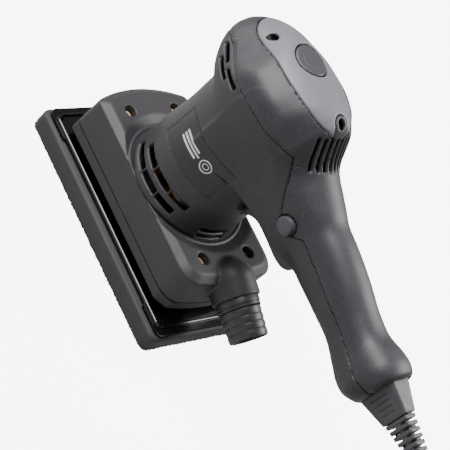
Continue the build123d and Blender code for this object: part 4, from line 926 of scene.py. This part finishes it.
# ---------------------------------------------------------------- top cap and badge
# A light grey ABS cover that follows the hood's dome, with a round dark insert that carries a plain relief.
# Three screws hold it: two through its front, one in the tower that stands in its rear notch.
CAP_STEP = 0.7
cap_low = (-60.0, -31.0, 186.0)
x, y, z = lattice(cap_low, (56.0, 31.0, 226.0), CAP_STEP)
height, steep = dome(x, y)
cap = meet(cap_plan(0.0), (z - height) * steep, 0.9)
cap = np.maximum(cap, (height - CAP_THICK - z) * steep)
badge_ring = np.hypot(x - BADGE[0], y)
cap = meet(cap, -(badge_ring - BADGE[1] - 1.0), 0.5)
for px, py in CAP_SCREWS[:2]:
    cap = meet(cap, -(np.hypot(x - px, y - py) - SCREW_WELL_R), 0.9)
grey_abs = grained_plastic("light_grey_abs", "6c6c71", "747479", 0.42, 0.9, 0.03)
add_piece("cap_cover", field_mesh("cap_cover", cap, cap_low, CAP_STEP), "housing", "grey_plastic",
          grey_abs, "top_cap")

relief = 0.35 * np.cos(np.clip(badge_ring, 0, 12.0) * math.pi / 3.0) * (badge_ring < 12.0)
badge = meet(badge_ring - BADGE[1], (z - height + 0.25 - relief * 0.5) * steep, 0.8)
badge = np.maximum(badge, (height - CAP_THICK + 0.2 - z) * steep)
badge_abs = grained_plastic("dark_grey_abs", "3c3b3f", "454448", 0.45, 0.8, 0.03)
add_piece("badge_disc", field_mesh("badge_disc", badge, cap_low, CAP_STEP), "housing", "dark_grey_plastic", badge_abs,
          "cap_badge")
cap_seats = [(px, py, 209.5) for px, py in CAP_SCREWS]
add_piece("cap_fixings", screw_group("cap_fixings", cap_seats, 3.2, 2.3, 1.5, 10), "housing", "pale_screw",
          satin_metal("black_zinc", "4a4846", 0.4), "cap_screws")

# ---------------------------------------------------------------- trigger and lock button
# The trigger is a long hollow nylon paddle with a curled front, hung on a pin; the button is a round domed plug.
TRIGGER_STEP = 0.5
trigger_low = (46.0, -12.0, 104.0)
x, y, z = lattice(trigger_low, (113.0, 12.0, 140.0), TRIGGER_STEP)
TRIGGER_UNDER = [(46, 100), (49.8, 104), (51.2, 107.2), (53.5, 110.8), (57, 114.3), (61.5, 116.9),
                 (67, 117.9), (80, 117.6), (99, 117.2), (103.5, 118.4), (106.5, 120.8), (108.6, 125),
                 (109.2, 131), (112, 145)]
under = smooth_curve(np.ravel(x), TRIGGER_UNDER).reshape(x.shape)
slope = np.gradient(under[:, 0, 0], x[:, 0, 0])[:, None, None]
paddle = (under - z) / np.sqrt(1 + slope ** 2)
front_line = (50.2 + (z - 109.0) * 0.145 - x)
paddle = meet(paddle, front_line, 1.0)
paddle = meet(paddle, x - 108.9, 1.5)
roof = np.where(x < 68, 136.4, 130.2)
paddle = np.maximum(paddle, z - roof)
paddle = np.maximum(paddle, (z - 125.0 - (x - 52.6) * 1.7) * 0.5)
paddle = meet(paddle, np.abs(y) - 10.0, 2.2)
pin_hole = np.hypot(x - TRIGGER_PIN[0], z - TRIGGER_PIN[1]) - 2.1
paddle = np.maximum(paddle, -pin_hole)
trigger_nylon = grained_plastic("trigger_nylon", "353336", "424045", 0.48, 0.9, 0.05)
add_piece("trigger_paddle", field_mesh("trigger_paddle", paddle, trigger_low, TRIGGER_STEP), "trigger",
          "charcoal_plastic", trigger_nylon, "trigger")

BUTTON_FACE_Y = -28.5
button_profile = [(-15.9, 3.4), (-9.9, 3.5), (-9.8, 7.0), (-9.3, 7.4), (-1.9, 7.4), (-0.8, 7.0),
                  (-0.2, 6.2), (0.0, 5.0), (0.0, 0.6)]
add_piece("lock_plug", lathe_mesh("lock_plug", [(-along, radius) for along, radius in button_profile],
                                  (BUTTON[0], BUTTON_FACE_Y, BUTTON[1]), (0, -1, 0), closed=False), "lock_button",
          "dark_grey_plastic", grained_plastic("button_abs", "3f3d42", "49474c", 0.45, 0.8, 0.03), "lock_button")

# ---------------------------------------------------------------- strain relief boot
# A soft PVC moulding gripped in the handle's end: a flat tapered block with pressed lines, then a ribbed tail
# whose ribs hang on staggered bars, as on a real boot that bends; here it is drawn rigid.
BOOT_STEP = 0.45
boot_low = (210.0, -12.0, 125.0)
x, y, z = lattice(boot_low, (281.5, 12.0, 163.0), BOOT_STEP)
up = z - BOOT_MID_Z
half_y = np.interp(x, (218.5, 241.0), (10.0, 6.6))
half_z = np.interp(x, (218.5, 241.0), (17.0, 12.0))
block = meet(np.abs(y) - half_y, np.abs(up) - half_z, 2.4)
block = meet(block, np.maximum(x - 241.0, 211.0 - x), 0.8)
for line in range(4):
    at = 222.4 + line * 4.4
    groove = np.maximum(np.abs(x - at) - 0.45,
                        np.maximum(np.abs(up + 1.0) - 8.2 + line * 0.9, half_y - 0.7 - np.abs(y)))
    block = meet(block, -groove, 0.4)
RIBS = 8
RIB_PITCH = 4.75
RIB_THICK = 3.0
tail = np.hypot(y, up) - 4.7
tail = np.maximum(tail, np.maximum(x - 280.0, 238.0 - x))
for rib in range(RIBS):
    share = rib / (RIBS - 1)
    centre = 243.2 + rib * RIB_PITCH
    wide = 6.2 - 1.1 * share
    tall = 10.4 - 4.6 * share
    ring = meet(meet(np.abs(y) - wide, np.abs(up) - tall, 1.6), np.abs(x - centre) - RIB_THICK / 2, 0.5)
    tail = np.minimum(tail, ring)
    across = np.abs(y) - wide + 1.6 if rib % 2 else np.abs(up) - tall + 2.2
    bar = np.maximum(np.maximum(-across, np.abs(x - centre + RIB_PITCH / 2) - 1.4),
                     np.maximum(np.abs(up) - (2.6 if rib % 2 else tall - 0.5),
                                np.abs(y) - (wide - 0.5 if rib % 2 else 2.4)))
    tail = np.minimum(tail, bar)
boot = join(block, tail, 0.5)
boot_pvc = moulded_rubber("boot_pvc", "4a484c", 0.5, 0.8)
add_piece("cord_boot", field_mesh("cord_boot", boot, boot_low, BOOT_STEP), "housing", "black_rubber", boot_pvc,
          "strain_relief")
